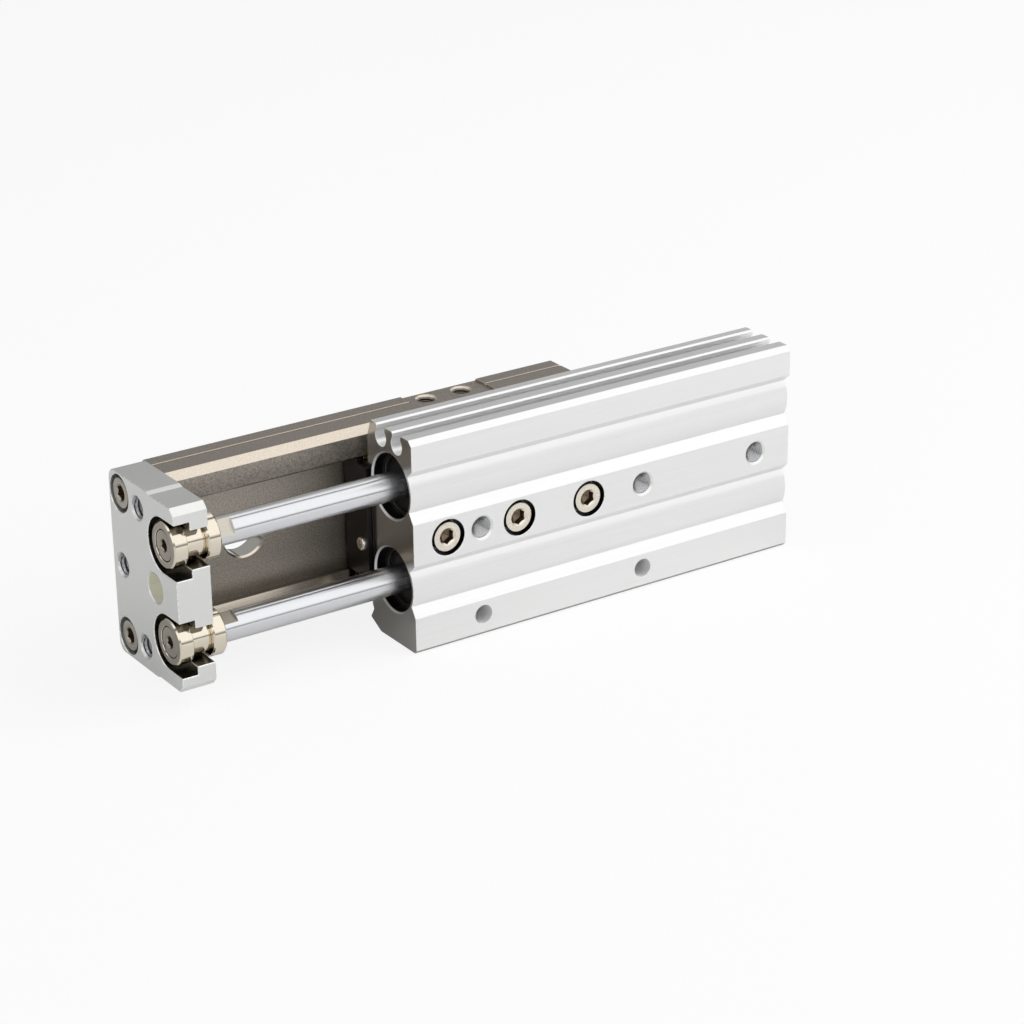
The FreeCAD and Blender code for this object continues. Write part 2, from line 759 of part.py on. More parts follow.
def rod_seal(z):
    """Lip seal in the rod cover, open towards the pressure side."""
    near = pocket_depth + rod_seal_start + groove_clearance
    far = pocket_depth + rod_seal_start + rod_seal_width - groove_clearance
    inner = rod_diameter / 2 + seal_clearance
    outer = rod_diameter / 2 + rod_seal_depth - groove_clearance
    middle = (inner + outer) / 2
    half_notch = (outer - inner) / 2 - rod_seal_lip / 2
    points = [(near, inner), (near, outer), (far, outer), (far, middle + half_notch)]
    points += [((near + far) / 2, middle), (far, middle - half_notch), (far, inner)]
    return turned(points, bore_y, z)


def ring_seal(z, shoulder, toward):
    """O-ring in the groove of a rod cover or head cap."""
    near, far = ring_seal_groove(shoulder, toward)
    inner = bore_radius - cover_clearance - ring_seal_depth + groove_clearance
    outer = bore_radius - seal_clearance
    centre, radius = vec((near + far) / 2, bore_y, z), (outer - inner) / 2
    return Part.makeTorus(inner + radius, radius, centre, vec(1, 0, 0))


def rod_bumper(z):
    """Cushion ring on the inner end of the rod cover."""
    inner = rod_diameter / 2 + bumper_clearance
    ring = rod_x(bumper_radius, cover_back, front_bumper_end, bore_y, z)
    return ring.cut(rod_x(inner, cover_back - cut_past, front_bumper_end + cut_past, bore_y, z))


def head_cap(z):
    """Stepped plug that closes the rear of a bore, with a thread for pulling it out."""
    head, nose = pocket_radius - cover_clearance, bore_radius - cover_clearance
    floor = nose - ring_seal_depth
    near, far = ring_seal_groove(cap_shoulder, -1)
    pull = puller_thread / 2
    points = [(cap_front, 0), (cap_front, nose), (near, nose), (near, floor), (far, floor), (far, nose)]
    points += [(cap_shoulder, nose), (cap_shoulder, head), (cap_back, head), (cap_back, pull)]
    points += [(cap_back - puller_depth, pull), (cap_back - puller_depth, 0)]
    return turned(points, bore_y, z)


def head_bumper(z):
    """Cushion disc on the inner end of the head cap."""
    return rod_x(bumper_radius, rear_bumper_start, cap_front, bore_y, z)


def snap_ring(station, z):
    """Internal snap ring: an open ring with an eared gap towards the mounting face."""
    outer = pocket_radius + snap_ring_groove - groove_clearance
    inner = outer - snap_ring_width
    end = station + snap_ring_thickness
    ring = rod_x(outer, station, end, bore_y, z)
    half_gap = math.radians(snap_ring_gap_angle / 2)
    ear_turn = half_gap + snap_ring_ear / inner
    ear_reach = inner - snap_ring_ear / 2
    places = [(bore_y - ear_reach * math.cos(turn), z + ear_reach * math.sin(turn)) for turn in (-ear_turn, ear_turn)]
    ears = [rod_x(snap_ring_ear, station, end, y, ear_z) for y, ear_z in places]
    holes = [rod_x(snap_ring_ear_hole, station - cut_past, end + cut_past, y, ear_z) for y, ear_z in places]
    reach = outer / math.cos(half_gap)
    sweep = reach * math.sin(half_gap)
    gap = Section(bore_y, z).line(bore_y - outer, z - sweep).line(bore_y - outer, z + sweep)
    hollow = rod_x(inner, station - cut_past, end + cut_past, bore_y, z)
    ring = cut_all(ring, [hollow, gap.extrude(station - cut_past, end + cut_past)])
    return cut_all(ring.multiFuse(ears), holes)


os.makedirs("parts", exist_ok=True)

write("cylinder_body", cylinder_body())
write("guide_block", guide_block())
write("guide_block_screws", guide_block_screws())
write("roller_stopper_front", roller_stopper(-stopper_thickness))
write("roller_stopper_rear", roller_stopper(block_length))
write("stopper_screws", stopper_screws())
write("slide_table", slide_table())
write("end_plate", end_plate())
write("end_plate_screws", end_plate_screws())
write("rod_end_screws", rod_end_screws())

for side_name, side_sign in (("upper", 1), ("lower", -1)):
    write("roller_cage_" + side_name, roller_cage(side_sign))
    write("rollers_" + side_name, rollers(side_sign))

ring_stations = snap_ring_stations()
write("rod_cover_snap_rings", [snap_ring(ring_stations[0], z) for z in bores.values()])
write("head_cap_snap_rings", [snap_ring(ring_stations[1], z) for z in bores.values()])

seal_outer = bore_radius - seal_clearance
magnet_outer = bore_radius - piston_clearance - magnet_depth
for bore_name, bore_z in bores.items():
    write("rod_cover_" + bore_name, rod_cover(bore_z))
    write("rod_seal_" + bore_name, rod_seal(bore_z))
    write("rod_cover_o_ring_" + bore_name, ring_seal(bore_z, pocket_depth, 1))
    write("rod_bumper_" + bore_name, rod_bumper(bore_z))
    write("head_cap_" + bore_name, head_cap(bore_z))
    write("head_cap_o_ring_" + bore_name, ring_seal(bore_z, cap_shoulder, -1))
    write("head_bumper_" + bore_name, head_bumper(bore_z))
    write("piston_rod_" + bore_name, piston_rod(bore_name))
    write("piston_" + bore_name, piston(bore_z))
    write("piston_seal_" + bore_name, piston_ring(bore_z, "seal", seal_outer))
    write("piston_magnet_" + bore_name, piston_ring(bore_z, "magnet", magnet_outer))
    write("piston_wear_ring_" + bore_name, piston_ring(bore_z, "wear_ring", seal_outer))
    write("floating_bush_" + bore_name, floating_bush(bore_z))
    write("rod_washer_" + bore_name, rod_washer(bore_z))
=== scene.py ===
import bmesh
import bpy
import json
import math
from mathutils import Euler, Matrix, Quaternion, Vector


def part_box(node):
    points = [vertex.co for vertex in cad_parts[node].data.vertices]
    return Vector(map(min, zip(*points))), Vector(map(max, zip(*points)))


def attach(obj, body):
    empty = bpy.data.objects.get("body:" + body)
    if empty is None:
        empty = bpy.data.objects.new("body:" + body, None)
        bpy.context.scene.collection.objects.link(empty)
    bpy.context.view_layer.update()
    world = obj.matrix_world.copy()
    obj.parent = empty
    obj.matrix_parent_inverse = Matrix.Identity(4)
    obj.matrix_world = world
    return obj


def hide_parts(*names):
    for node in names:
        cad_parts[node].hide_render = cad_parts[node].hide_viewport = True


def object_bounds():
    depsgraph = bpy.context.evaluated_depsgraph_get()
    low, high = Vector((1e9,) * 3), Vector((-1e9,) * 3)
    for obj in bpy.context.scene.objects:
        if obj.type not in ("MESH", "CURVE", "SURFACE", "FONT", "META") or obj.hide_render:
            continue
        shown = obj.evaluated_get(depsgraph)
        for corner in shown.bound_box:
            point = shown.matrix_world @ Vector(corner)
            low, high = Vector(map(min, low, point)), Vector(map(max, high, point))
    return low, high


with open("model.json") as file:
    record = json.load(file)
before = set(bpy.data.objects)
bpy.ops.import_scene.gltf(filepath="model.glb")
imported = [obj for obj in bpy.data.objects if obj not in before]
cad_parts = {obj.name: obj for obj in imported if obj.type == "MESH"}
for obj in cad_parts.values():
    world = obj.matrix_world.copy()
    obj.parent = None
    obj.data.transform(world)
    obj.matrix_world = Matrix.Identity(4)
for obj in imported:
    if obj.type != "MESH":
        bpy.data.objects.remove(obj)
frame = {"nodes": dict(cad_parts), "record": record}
cad_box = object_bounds()

# Cylinder body: one aluminium extrusion, drilled and milled, then blasted and clear anodised.
# The drawn skin keeps faint lines along its length. The milled ends are bare, greyer metal, darkened further
# as painted shade for the dark they mirror, and the down-facing foot chamfer shares that colour. The bore
# walls and screw counterbores are painted near-black as the shade inside them.
body_low, body_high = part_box("cylinder_body")
body_edge_break = 0.00008
body_skin_dark = (0.79, 0.792, 0.79)
body_skin_light = (0.87, 0.87, 0.865)
body_edge_light = (0.9, 0.9, 0.89)
end_shade_dark = (0.40, 0.39, 0.37)
end_shade_light = (0.48, 0.47, 0.45)
bore_shade_dark = (0.030, 0.029, 0.028)
bore_shade_light = (0.06, 0.058, 0.055)
bore_reach = 0.0095
end_reach = 0.0001
slanted = 0.5


def place(tree, kind, inputs=None, **settings):
    """Add one shader node; an input is given a value or another node's output."""
    made = tree.nodes.new("ShaderNode" + kind)
    for name, value in settings.items():
        setattr(made, name, value)
    for name, value in (inputs or {}).items():
        if isinstance(value, bpy.types.NodeSocket):
            tree.links.new(value, made.inputs[name])
        else:
            made.inputs[name].default_value = value
    return made


def calculate(tree, operation, *values):
    """Join shader values by one operation, such as a product or the larger of two."""
    return place(tree, "Math", dict(enumerate(values)), operation=operation).outputs[0]


def calculate_vector(tree, operation, *values):
    """Join shader vectors by one operation."""
    return place(tree, "VectorMath", dict(enumerate(values)), operation=operation).outputs["Vector"]


def shared_effect(name, sizes):
    """An empty node group that turns a place on the piece into a mask between 0 and 1."""
    group = bpy.data.node_groups.new(name, "ShaderNodeTree")
    group.interface.new_socket("Vector", in_out="INPUT", socket_type="NodeSocketVector")
    for size in sizes:
        group.interface.new_socket(size, in_out="INPUT", socket_type="NodeSocketFloat")
    group.interface.new_socket("Mask", in_out="OUTPUT", socket_type="NodeSocketFloat")
    entry = group.nodes.new("NodeGroupInput")
    leave = group.nodes.new("NodeGroupOutput")
    return group, entry.outputs, leave.inputs["Mask"]


def spread(tree, value, low, high):
    """Stretch the middle of a noise to the whole range from 0 to 1."""
    return place(tree, "MapRange", {"Value": value, "From Min": low, "From Max": high}).outputs["Result"]


blasted_grain, entry, leave = shared_effect("blasted_grain", ["Grain Size"])
per_metre = calculate(blasted_grain, "DIVIDE", 1.0, entry["Grain Size"])
speckle = place(blasted_grain, "TexNoise", {"Vector": entry["Vector"], "Scale": per_metre, "Detail": 3.0})
blasted_grain.links.new(spread(blasted_grain, speckle.outputs["Fac"], low=0.3, high=0.7), leave)

drawn_lines, entry, leave = shared_effect("drawn_lines", ["Line Length", "Line Width"])
along = calculate(drawn_lines, "DIVIDE", 1.0, entry["Line Length"])
across = calculate(drawn_lines, "DIVIDE", 1.0, entry["Line Width"])
stretch = place(drawn_lines, "CombineXYZ", {"X": along, "Y": across, "Z": across}).outputs["Vector"]
scaled = calculate_vector(drawn_lines, "MULTIPLY", entry["Vector"], stretch)
streak = place(drawn_lines, "TexNoise", {"Vector": scaled, "Scale": 1.0, "Detail": 4.0, "Roughness": 0.65})
drawn_lines.links.new(spread(drawn_lines, streak.outputs["Fac"], low=0.28, high=0.72), leave)

turned_rings, entry, leave = shared_effect("turned_rings", ["Ring Pitch"])
across_axis = calculate_vector(turned_rings, "MULTIPLY", entry["Vector"], (0.0, 1.0, 1.0))
radius = place(turned_rings, "VectorMath", {0: across_axis}, operation="LENGTH").outputs["Value"]
ring_count = calculate(turned_rings, "DIVIDE", radius, entry["Ring Pitch"])
ring = place(turned_rings, "TexNoise", {"W": ring_count, "Scale": 1.0, "Detail": 2.0}, noise_dimensions="1D")
turned_rings.links.new(spread(turned_rings, ring.outputs["Fac"], low=0.25, high=0.75), leave)


def effect(tree, group, inputs):
    """Place a shared effect in a material and return its mask."""
    return place(tree, "Group", inputs, node_tree=group).outputs["Mask"]


def new_finish(name):
    """An empty material: its node tree, its shader and the place on the piece."""
    material = bpy.data.materials.new(name)
    material.use_nodes = True
    tree = material.node_tree
    return material, tree, tree.nodes["Principled BSDF"], place(tree, "TexCoord").outputs["Object"]


def surface(tree, shader, mask, colours, roughness, relief, metallic=1.0):
    """Let one mask drive the colour, roughness and relief of a finish."""
    dark, light = colours
    smooth, rough = roughness
    bump_strength = 0.6
    tint = place(tree, "MixRGB", {"Fac": mask, "Color1": (*dark, 1.0), "Color2": (*light, 1.0)})
    sheen = place(tree, "MapRange", {"Value": mask, "To Min": smooth, "To Max": rough})
    bump = place(tree, "Bump", {"Height": mask, "Strength": bump_strength, "Distance": relief})
    tree.links.new(tint.outputs["Color"], shader.inputs["Base Color"])
    tree.links.new(sheen.outputs["Result"], shader.inputs["Roughness"])
    tree.links.new(bump.outputs["Normal"], shader.inputs["Normal"])
    shader.inputs["Metallic"].default_value = metallic


def patterned_finish(name, pattern, sizes, **look):
    """A material that follows one of the shared effects."""
    material, tree, shader, spot = new_finish(name)
    surface(tree, shader, effect(tree, pattern, {"Vector": spot, **sizes}), **look)
    return material


def broken_edges(name, node, width, finishes, share=lambda edge: 1.0):
    """A copy of a machined piece whose outward edges carry a small deburring bevel in the last finish."""
    same_place = 0.00003
    flat_angle = math.radians(0.3)
    sharp_angle = math.radians(50)
    smooth_angle = math.radians(12)
    piece = bpy.data.objects.new(name, frame["nodes"][node].data.copy())
    bpy.context.scene.collection.objects.link(piece)
    bpy.ops.object.select_all(action="DESELECT")
    piece.select_set(True)
    bpy.context.view_layer.objects.active = piece
    bpy.ops.mesh.customdata_custom_splitnormals_clear()
    bpy.ops.object.mode_set(mode="EDIT")
    bpy.ops.mesh.select_all(action="SELECT")
    bpy.ops.mesh.remove_doubles(threshold=same_place)
    bpy.ops.mesh.dissolve_limited(angle_limit=flat_angle)
    bpy.ops.object.mode_set(mode="OBJECT")
    shape = bmesh.new()
    shape.from_mesh(piece.data)
    weight = shape.edges.layers.float.new("bevel_weight_edge")
    for edge in shape.edges:
        if edge.is_manifold and edge.is_convex and edge.calc_face_angle() > sharp_angle:
            edge[weight] = share(edge)
    shape.to_mesh(piece.data)
    shape.free()
    piece.data.materials.clear()
    for finish in finishes:
        piece.data.materials.append(finish)
    bevel = piece.modifiers.new("deburring", "BEVEL")
    bevel.width = width
    bevel.segments = 1
    bevel.limit_method = "WEIGHT"
    bevel.use_clamp_overlap = False
    bevel.material = len(finishes) - 1
    bpy.ops.object.modifier_apply(modifier=bevel.name)
    bpy.ops.object.shade_smooth_by_angle(angle=smooth_angle)
    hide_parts(node)
    return piece


def give(piece, face, finish):
    """Put one of a piece's finishes on a face."""
    face.material_index = piece.data.materials.find(finish.name)


def runs_along(face, axis):
    """Whether a face lies along an axis rather than across it."""
    return abs(getattr(face.normal, axis)) < slanted


body_skin, tree, shader, spot = new_finish("anodised_skin")
lines = effect(tree, drawn_lines, {"Vector": spot, "Line Length": 0.06, "Line Width": 0.0004})
grain = effect(tree, blasted_grain, {"Vector": spot, "Grain Size": 0.00012})
mean = calculate(tree, "MULTIPLY", calculate(tree, "ADD", lines, grain), 0.5)
surface(tree, shader, mean, colours=(body_skin_dark, body_skin_light),
        roughness=(0.36, 0.46), relief=0.000004, metallic=0.85)
# Painted shade: the end colour is darker than bare milled metal, for the dark that the ends mirror.
bare_end_and_shade = patterned_finish("bare_end_painted_shade", turned_rings, {"Ring Pitch": 0.00012},
                            colours=(end_shade_dark, end_shade_light), roughness=(0.20, 0.24), relief=0.0000005)
body_edge = patterned_finish("anodised_edge", blasted_grain, {"Grain Size": 0.0004},
                             colours=(body_skin_light, body_edge_light), roughness=(0.25, 0.32),
                             relief=0.000002, metallic=0.7)
# Painted shade: near-black walls, for the shade deep inside the bores and screw counterbores.
bore_shade_paint = patterned_finish("painted_shade_bore", blasted_grain, {"Grain Size": 0.0003},
                             colours=(bore_shade_dark, bore_shade_light), roughness=(0.30, 0.40), relief=0.000002)

body_finishes = [body_skin, bare_end_and_shade, bore_shade_paint, body_edge]
body = broken_edges("body_extrusion", "cylinder_body", body_edge_break, body_finishes)
rod_low, rod_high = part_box("piston_rod_upper")
bore_y = (rod_low.y + rod_high.y) / 2
bore_z = (rod_low.z + rod_high.z) / 2
# The ends take the end colour with its painted shade; the bore walls take the near-black painted shade.
for face in body.data.polygons:
    from_bore = math.hypot(face.center.y - bore_y, abs(face.center.z) - bore_z)
    at_end = min(face.center.x - body_low.x, body_high.x - face.center.x) < end_reach
    bevelled = face.material_index > 0
    if at_end and not bevelled:
        give(body, face, bare_end_and_shade)
    elif from_bore < bore_reach and runs_along(face, "x") and not bevelled:
        give(body, face, bore_shade_paint)
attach(body, "cylinder")

# Threads and drillings of the body: tapped into the mounting face, and into the lower side for the air
# fittings. Each thread is one helical ridge that stands in from the wall of its drilling.
coarse_m6_pitch = 0.001
coarse_m5_pitch = 0.0008
thread_run_out = 0.0005
mounting_thread_depth = 0.010
air_port_depth = 0.0055
foot_height = 0.001
thread_shade_dark = (0.34, 0.345, 0.355)
thread_shade_light = (0.48, 0.485, 0.495)
drilling_dark = (0.75, 0.755, 0.75)
drilling_light = (0.83, 0.835, 0.83)
mounts = {mount["name"]: mount for mount in frame["record"]["mounts"]}


def mount_size(name, size):
    """One size of a mount, in metres."""
    return mounts[name]["dims"][size] / 1000


def set_down(piece, spot, direction):
    """Turn the selected piece, which was built along Z, towards a direction and move it to its spot."""
    piece.rotation_mode = "QUATERNION"
    piece.rotation_quaternion = Vector(direction).to_track_quat("Z", "Y")
    piece.location = Vector(spot)
    bpy.ops.object.transform_apply(location=True, rotation=True, scale=True)


def thread(name, radius, pitch, mouth, inward, depth, body_name, finish):
    """A helical ridge of triangular section on the wall of a hole."""
    turns = int((depth - 2 * thread_run_out) / pitch)
    steps_per_turn = 32
    ridge = 0.5 * pitch
    ridge_height = 0.54 * pitch
    wall_gap = 0.00001
    smooth_angle = math.radians(20)
    bpy.ops.object.select_all(action="DESELECT")
    bpy.ops.mesh.primitive_circle_add(vertices=3, radius=ridge, rotation=(math.pi / 2, -math.pi / 2, 0))
    coil = bpy.context.active_object
    coil.name = name
    bpy.ops.object.transform_apply(location=True, rotation=True, scale=True)
    bpy.ops.object.mode_set(mode="EDIT")
    bpy.ops.mesh.select_all(action="SELECT")
    bpy.ops.transform.resize(value=(ridge_height / (1.5 * ridge), 1, 1))
    bpy.ops.transform.translate(value=(radius - ridge_height / 3 - wall_gap, 0, 0))
    bpy.ops.object.mode_set(mode="OBJECT")
    screw = coil.modifiers.new("helix", "SCREW")
    screw.axis = "Z"
    screw.screw_offset = pitch
    screw.iterations = turns
    screw.steps = steps_per_turn
    screw.render_steps = steps_per_turn
    bpy.ops.object.modifier_apply(modifier=screw.name)
    bpy.ops.object.mode_set(mode="EDIT")
    bpy.ops.mesh.select_all(action="DESELECT")
    bpy.ops.mesh.select_mode(type="EDGE")
    bpy.ops.mesh.select_non_manifold()
    bpy.ops.mesh.fill()
    bpy.ops.mesh.select_all(action="SELECT")
    bpy.ops.mesh.normals_make_consistent(inside=False)
    bpy.ops.object.mode_set(mode="OBJECT")
    bpy.ops.object.shade_smooth_by_angle(angle=smooth_angle)
    set_down(coil, Vector(mouth) + Vector(inward) * thread_run_out, inward)
    coil.data.materials.append(finish)
    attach(coil, body_name)


def finish_hole(piece, finish, centre_x, centre_z, reach):
    """Put a finish on the wall of a hole that runs along Y."""
    if finish.name not in piece.data.materials:
        piece.data.materials.append(finish)
    for face in piece.data.polygons:
        from_axis = math.hypot(face.center.x - centre_x, face.center.z - centre_z)
        if from_axis < reach and runs_along(face, "y"):
            give(piece, face, finish)


# Painted shade: the tapped walls and thread ridges are far darker than the skin, for the shade inside the
# holes.
thread_painted_shade = patterned_finish("thread_painted_shade", blasted_grain, {"Grain Size": 0.0002},
                              colours=(thread_shade_dark, thread_shade_light), roughness=(0.22, 0.34), relief=0.000002)
drilled_wall = patterned_finish("drilled_wall", blasted_grain, {"Grain Size": 0.0002},
                                colours=(drilling_dark, drilling_light), roughness=(0.40, 0.5),
                                relief=0.000002, metallic=0.15)

half_pitch = mount_size("mounting_threads", "spacing_x_mm") / 2
mounting_thread_radius = mount_size("mounting_threads", "hole_r_mm")
mounting_places = [-half_pitch, half_pitch, mounts["rear_mounting_thread"]["pos_m"][0]]
for number, x in enumerate(mounting_places, 1):
    thread(f"mounting_thread_{number}", mounting_thread_radius, coarse_m6_pitch, (x, body_low.y, 0),
           (0, 1, 0), mounting_thread_depth, "cylinder", thread_painted_shade)
    finish_hole(body, thread_painted_shade, x, 0, mounting_thread_radius)
through_height = mounts["mounting_through_holes"]["pos_m"][2]
through_radius = mount_size("mounting_through_holes", "hole_r_mm")
half_pitch = mount_size("mounting_through_holes", "spacing_x_mm") / 2
for x in (-half_pitch, half_pitch):
    finish_hole(body, drilled_wall, x, through_height, through_radius)
# Painted shade: the down-facing chamfer along the foot takes the darker end colour, for the shadow under the
# part.
for face in body.data.polygons:
    at_foot = face.center.z < body_low.z + foot_height
    if at_foot and face.normal.y < -slanted and face.normal.z < -slanted:
        give(body, face, bare_end_and_shade)
for name in ("front_air_port", "rear_air_port"):
    port = mounts[name]["pos_m"]
    thread(name + "_thread", mount_size(name, "r_mm"), coarse_m5_pitch, (port[0], port[1], body_low.z),
           (0, 0, 1), air_port_depth, "cylinder", thread_painted_shade)

# Guide block and its screws: a hardened and ground steel block in the body's seat, held by three socket
# head screws that are sunk in the mounting face. The screws are nickel plated and show their key sockets.
guide_edge_break = 0.0002
guide_dark = (0.045, 0.042, 0.04)
guide_light = (0.08, 0.075, 0.07)
nickel_dark = (0.72, 0.665, 0.57)
nickel_light = (0.85, 0.795, 0.70)
socket_shade_dark = (0.10, 0.07, 0.05)
socket_shade_light = (0.30, 0.23, 0.16)
facing = 0.9

guide_steel = patterned_finish("ground_steel", drawn_lines, {"Line Length": 0.012, "Line Width": 0.00008},
                               colours=(guide_dark, guide_light), roughness=(0.28, 0.42), relief=0.000002)
block = broken_edges("ground_guide_block", "guide_block", guide_edge_break, [guide_steel])
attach(block, "cylinder")

screw_nickel = patterned_finish("nickel_screw", blasted_grain, {"Grain Size": 0.0003},
                                colours=(nickel_dark, nickel_light), roughness=(0.24, 0.36), relief=0.000004)
# Painted shade: the socket walls are a dark brown, for the shade inside the recess.
socket_shade_paint = patterned_finish("painted_shade_socket", blasted_grain, {"Grain Size": 0.0004},
                                colours=(socket_shade_dark, socket_shade_light), roughness=(0.30, 0.5), relief=0.000006)


def select_faces(piece, test):
    """Select the faces of a piece whose normal passes a test, ready for edit mode."""
    bpy.context.tool_settings.mesh_select_mode = (False, False, True)
    bpy.ops.object.mode_set(mode="EDIT")
    bpy.ops.mesh.select_all(action="DESELECT")
    bpy.ops.object.mode_set(mode="OBJECT")
    for face in piece.data.polygons:
        face.select = test(face.normal)
    bpy.ops.object.mode_set(mode="EDIT")


def is_top(normal):
    """Whether a face looks up along Z."""
    return normal.z > facing


def is_bottom(normal):
    """Whether a face looks down along Z."""
    return normal.z < -facing


def cut_away(piece, tool):
    """Take a tool's shape out of a piece and remove the tool."""
    bpy.ops.object.select_all(action="DESELECT")
    piece.select_set(True)
    bpy.context.view_layer.objects.active = piece
    cut = piece.modifiers.new("cut", "BOOLEAN")
    cut.operation = "DIFFERENCE"
    cut.solver = "EXACT"
    cut.object = tool
    bpy.ops.object.modifier_apply(modifier=cut.name)
    bpy.data.objects.remove(tool)


def cap_screw(name, form, grip, seat, inward, node, rides, plating):
    """A socket head screw with a knurled flank, a chamfered head and a hexagon socket."""
    head_radius, head_height, key, key_depth, shank_radius = form
    rim = 0.00035
    knurl = 0.00010
    flank_points = 96
    flank_share = 0.99
    corner = key / math.sqrt(3)
    drill_point = 0.3 * key
    countersink_depth = 0.1 * corner
    smooth_angle = math.radians(25)
    bpy.ops.object.select_all(action="DESELECT")
    bpy.ops.mesh.primitive_cylinder_add(vertices=flank_points, radius=head_radius, depth=head_height,
                                        location=(0, 0, head_height / 2))
    screw = bpy.context.active_object
    screw.name = name
    bpy.ops.object.transform_apply(location=True, rotation=True, scale=True)
    select_faces(screw, is_top)
    bpy.ops.mesh.bevel(offset=rim, segments=2, affect="EDGES")
    select_faces(screw, is_bottom)
    bpy.ops.mesh.inset(thickness=head_radius - shank_radius)
    bpy.ops.mesh.extrude_region_move(TRANSFORM_OT_translate={"value": (0, 0, -grip)})
    bpy.ops.mesh.bevel(offset=rim, segments=1, affect="EDGES")
    bpy.ops.object.mode_set(mode="OBJECT")
    step = 2 * math.pi / flank_points
    for vertex in screw.data.vertices:
        reach = math.hypot(vertex.co.x, vertex.co.y)
        turn = round(math.atan2(vertex.co.y, vertex.co.x) / step)
        if reach > head_radius * flank_share and turn % 2:
            vertex.co.x *= 1 - knurl / head_radius
            vertex.co.y *= 1 - knurl / head_radius
    screw.data.materials.append(plating)
    screw.data.materials.append(socket_shade_paint)
    bpy.ops.object.select_all(action="DESELECT")
    bpy.ops.mesh.primitive_cylinder_add(vertices=6, radius=corner, depth=2 * key_depth,
                                        location=(0, 0, head_height))
    broach = bpy.context.active_object
    bpy.ops.object.transform_apply(location=True, rotation=True, scale=True)
    select_faces(broach, is_bottom)
    bpy.ops.mesh.extrude_region_move(TRANSFORM_OT_translate={"value": (0, 0, -drill_point)})
    bpy.ops.mesh.merge(type="CENTER")
    bpy.ops.object.mode_set(mode="OBJECT")
    broach.data.materials.append(plating)
    broach.data.materials.append(socket_shade_paint)
    # The socket's walls take the dark brown painted shade.
    for face in broach.data.polygons:
        give(broach, face, socket_shade_paint)
    cut_away(screw, broach)
    bpy.ops.object.select_all(action="DESELECT")
    bpy.ops.mesh.primitive_cone_add(vertices=48, radius1=0.0, radius2=2 * corner, depth=2 * corner,
                                    location=(0, 0, head_height - countersink_depth))
    countersink = bpy.context.active_object
    bpy.ops.object.transform_apply(location=True, rotation=True, scale=True)
    countersink.data.materials.append(plating)
    cut_away(screw, countersink)
    bpy.ops.object.shade_smooth_by_angle(angle=smooth_angle)
    set_down(screw, seat, -Vector(inward))
    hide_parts(node)
    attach(screw, rides)


screw_head_radius = 0.00425
screw_head_height = 0.005
screw_key = 0.004
screw_key_depth = 0.0025
screw_shank_radius = 0.0025
screw_form = (screw_head_radius, screw_head_height, screw_key, screw_key_depth, screw_shank_radius)
screw_bore_reach = 0.0053
low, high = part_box("guide_block_screws")
screw_seat = low.y + screw_head_height
screw_spacing = (high.x - low.x - 2 * screw_head_radius) / 2
for number in range(3):
    x = low.x + screw_head_radius + number * screw_spacing
    cap_screw(f"guide_block_screw_{number + 1}", screw_form, high.y - screw_seat,
              (x, screw_seat, (low.z + high.z) / 2), (0, 1, 0),
              "guide_block_screws", "cylinder", screw_nickel)
    # Painted shade: the counterbore wall around each screw takes the near-black bore colour.
    finish_hole(body, bore_shade_paint, x, 0, screw_bore_reach)

# Roller stoppers: plain steel plates across both ends of the guide block that keep the cages in.
# Two small cross-head screws hold each of them.
stopper_edge_break = 0.0002
stopper_head_radius = 0.0019
stopper_screw_reach = 0.006
stopper_dark = (0.025, 0.023, 0.021)
stopper_light = (0.05, 0.046, 0.042)
stopper_steel = patterned_finish("stamped_steel", blasted_grain, {"Grain Size": 0.0003},
                                 colours=(stopper_dark, stopper_light), roughness=(0.35, 0.5),
                                 relief=0.000004)
for end in ("front", "rear"):
    stopper = broken_edges(f"stopper_plate_{end}", f"roller_stopper_{end}", stopper_edge_break,
                           [stopper_steel])
    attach(stopper, "cylinder")


def cross_screw(name, seat, outward):
    """A low screw with a rounded head and a cross recess."""
    head_height = 0.0012
    head_round = 0.0007
    shank_radius = 0.001
    slot_length = 0.0023
    slot_width = 0.0005
    slot_depth = 0.0007
    smooth_angle = math.radians(25)
    bpy.ops.object.select_all(action="DESELECT")
    bpy.ops.mesh.primitive_cylinder_add(vertices=48, radius=stopper_head_radius, depth=head_height,
                                        location=(0, 0, head_height / 2))
    screw = bpy.context.active_object
    screw.name = name
    bpy.ops.object.transform_apply(location=True, rotation=True, scale=True)
    select_faces(screw, is_top)
    bpy.ops.mesh.bevel(offset=head_round, segments=4, affect="EDGES")
    select_faces(screw, is_bottom)
    bpy.ops.mesh.inset(thickness=stopper_head_radius - shank_radius)
    bpy.ops.mesh.extrude_region_move(TRANSFORM_OT_translate={"value": (0, 0, -stopper_screw_reach)})
    bpy.ops.object.mode_set(mode="OBJECT")
    screw.data.materials.append(screw_nickel)
    for turn in (0, math.pi / 2):
        bpy.ops.object.select_all(action="DESELECT")
        bpy.ops.mesh.primitive_cube_add(size=1, location=(0, 0, head_height), rotation=(0, 0, turn),
                                        scale=(slot_length, slot_width, 2 * slot_depth))
        blade = bpy.context.active_object
        bpy.ops.object.transform_apply(location=True, rotation=True, scale=True)
        cut_away(screw, blade)
    bpy.ops.object.shade_smooth_by_angle(angle=smooth_angle)
    set_down(screw, seat, outward)
    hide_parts("stopper_screws")
    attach(screw, "cylinder")


low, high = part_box("stopper_screws")
screw_height = (low.y + high.y) / 2
for end, outward in (("front", -1), ("rear", 1)):
    plate_low, plate_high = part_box(f"roller_stopper_{end}")
    face_x = plate_low.x if outward < 0 else plate_high.x
    for side, z in (("lower", low.z + stopper_head_radius), ("upper", high.z - stopper_head_radius)):
        cross_screw(f"stopper_screw_{end}_{side}", (face_x, screw_height, z), (outward, 0, 0))

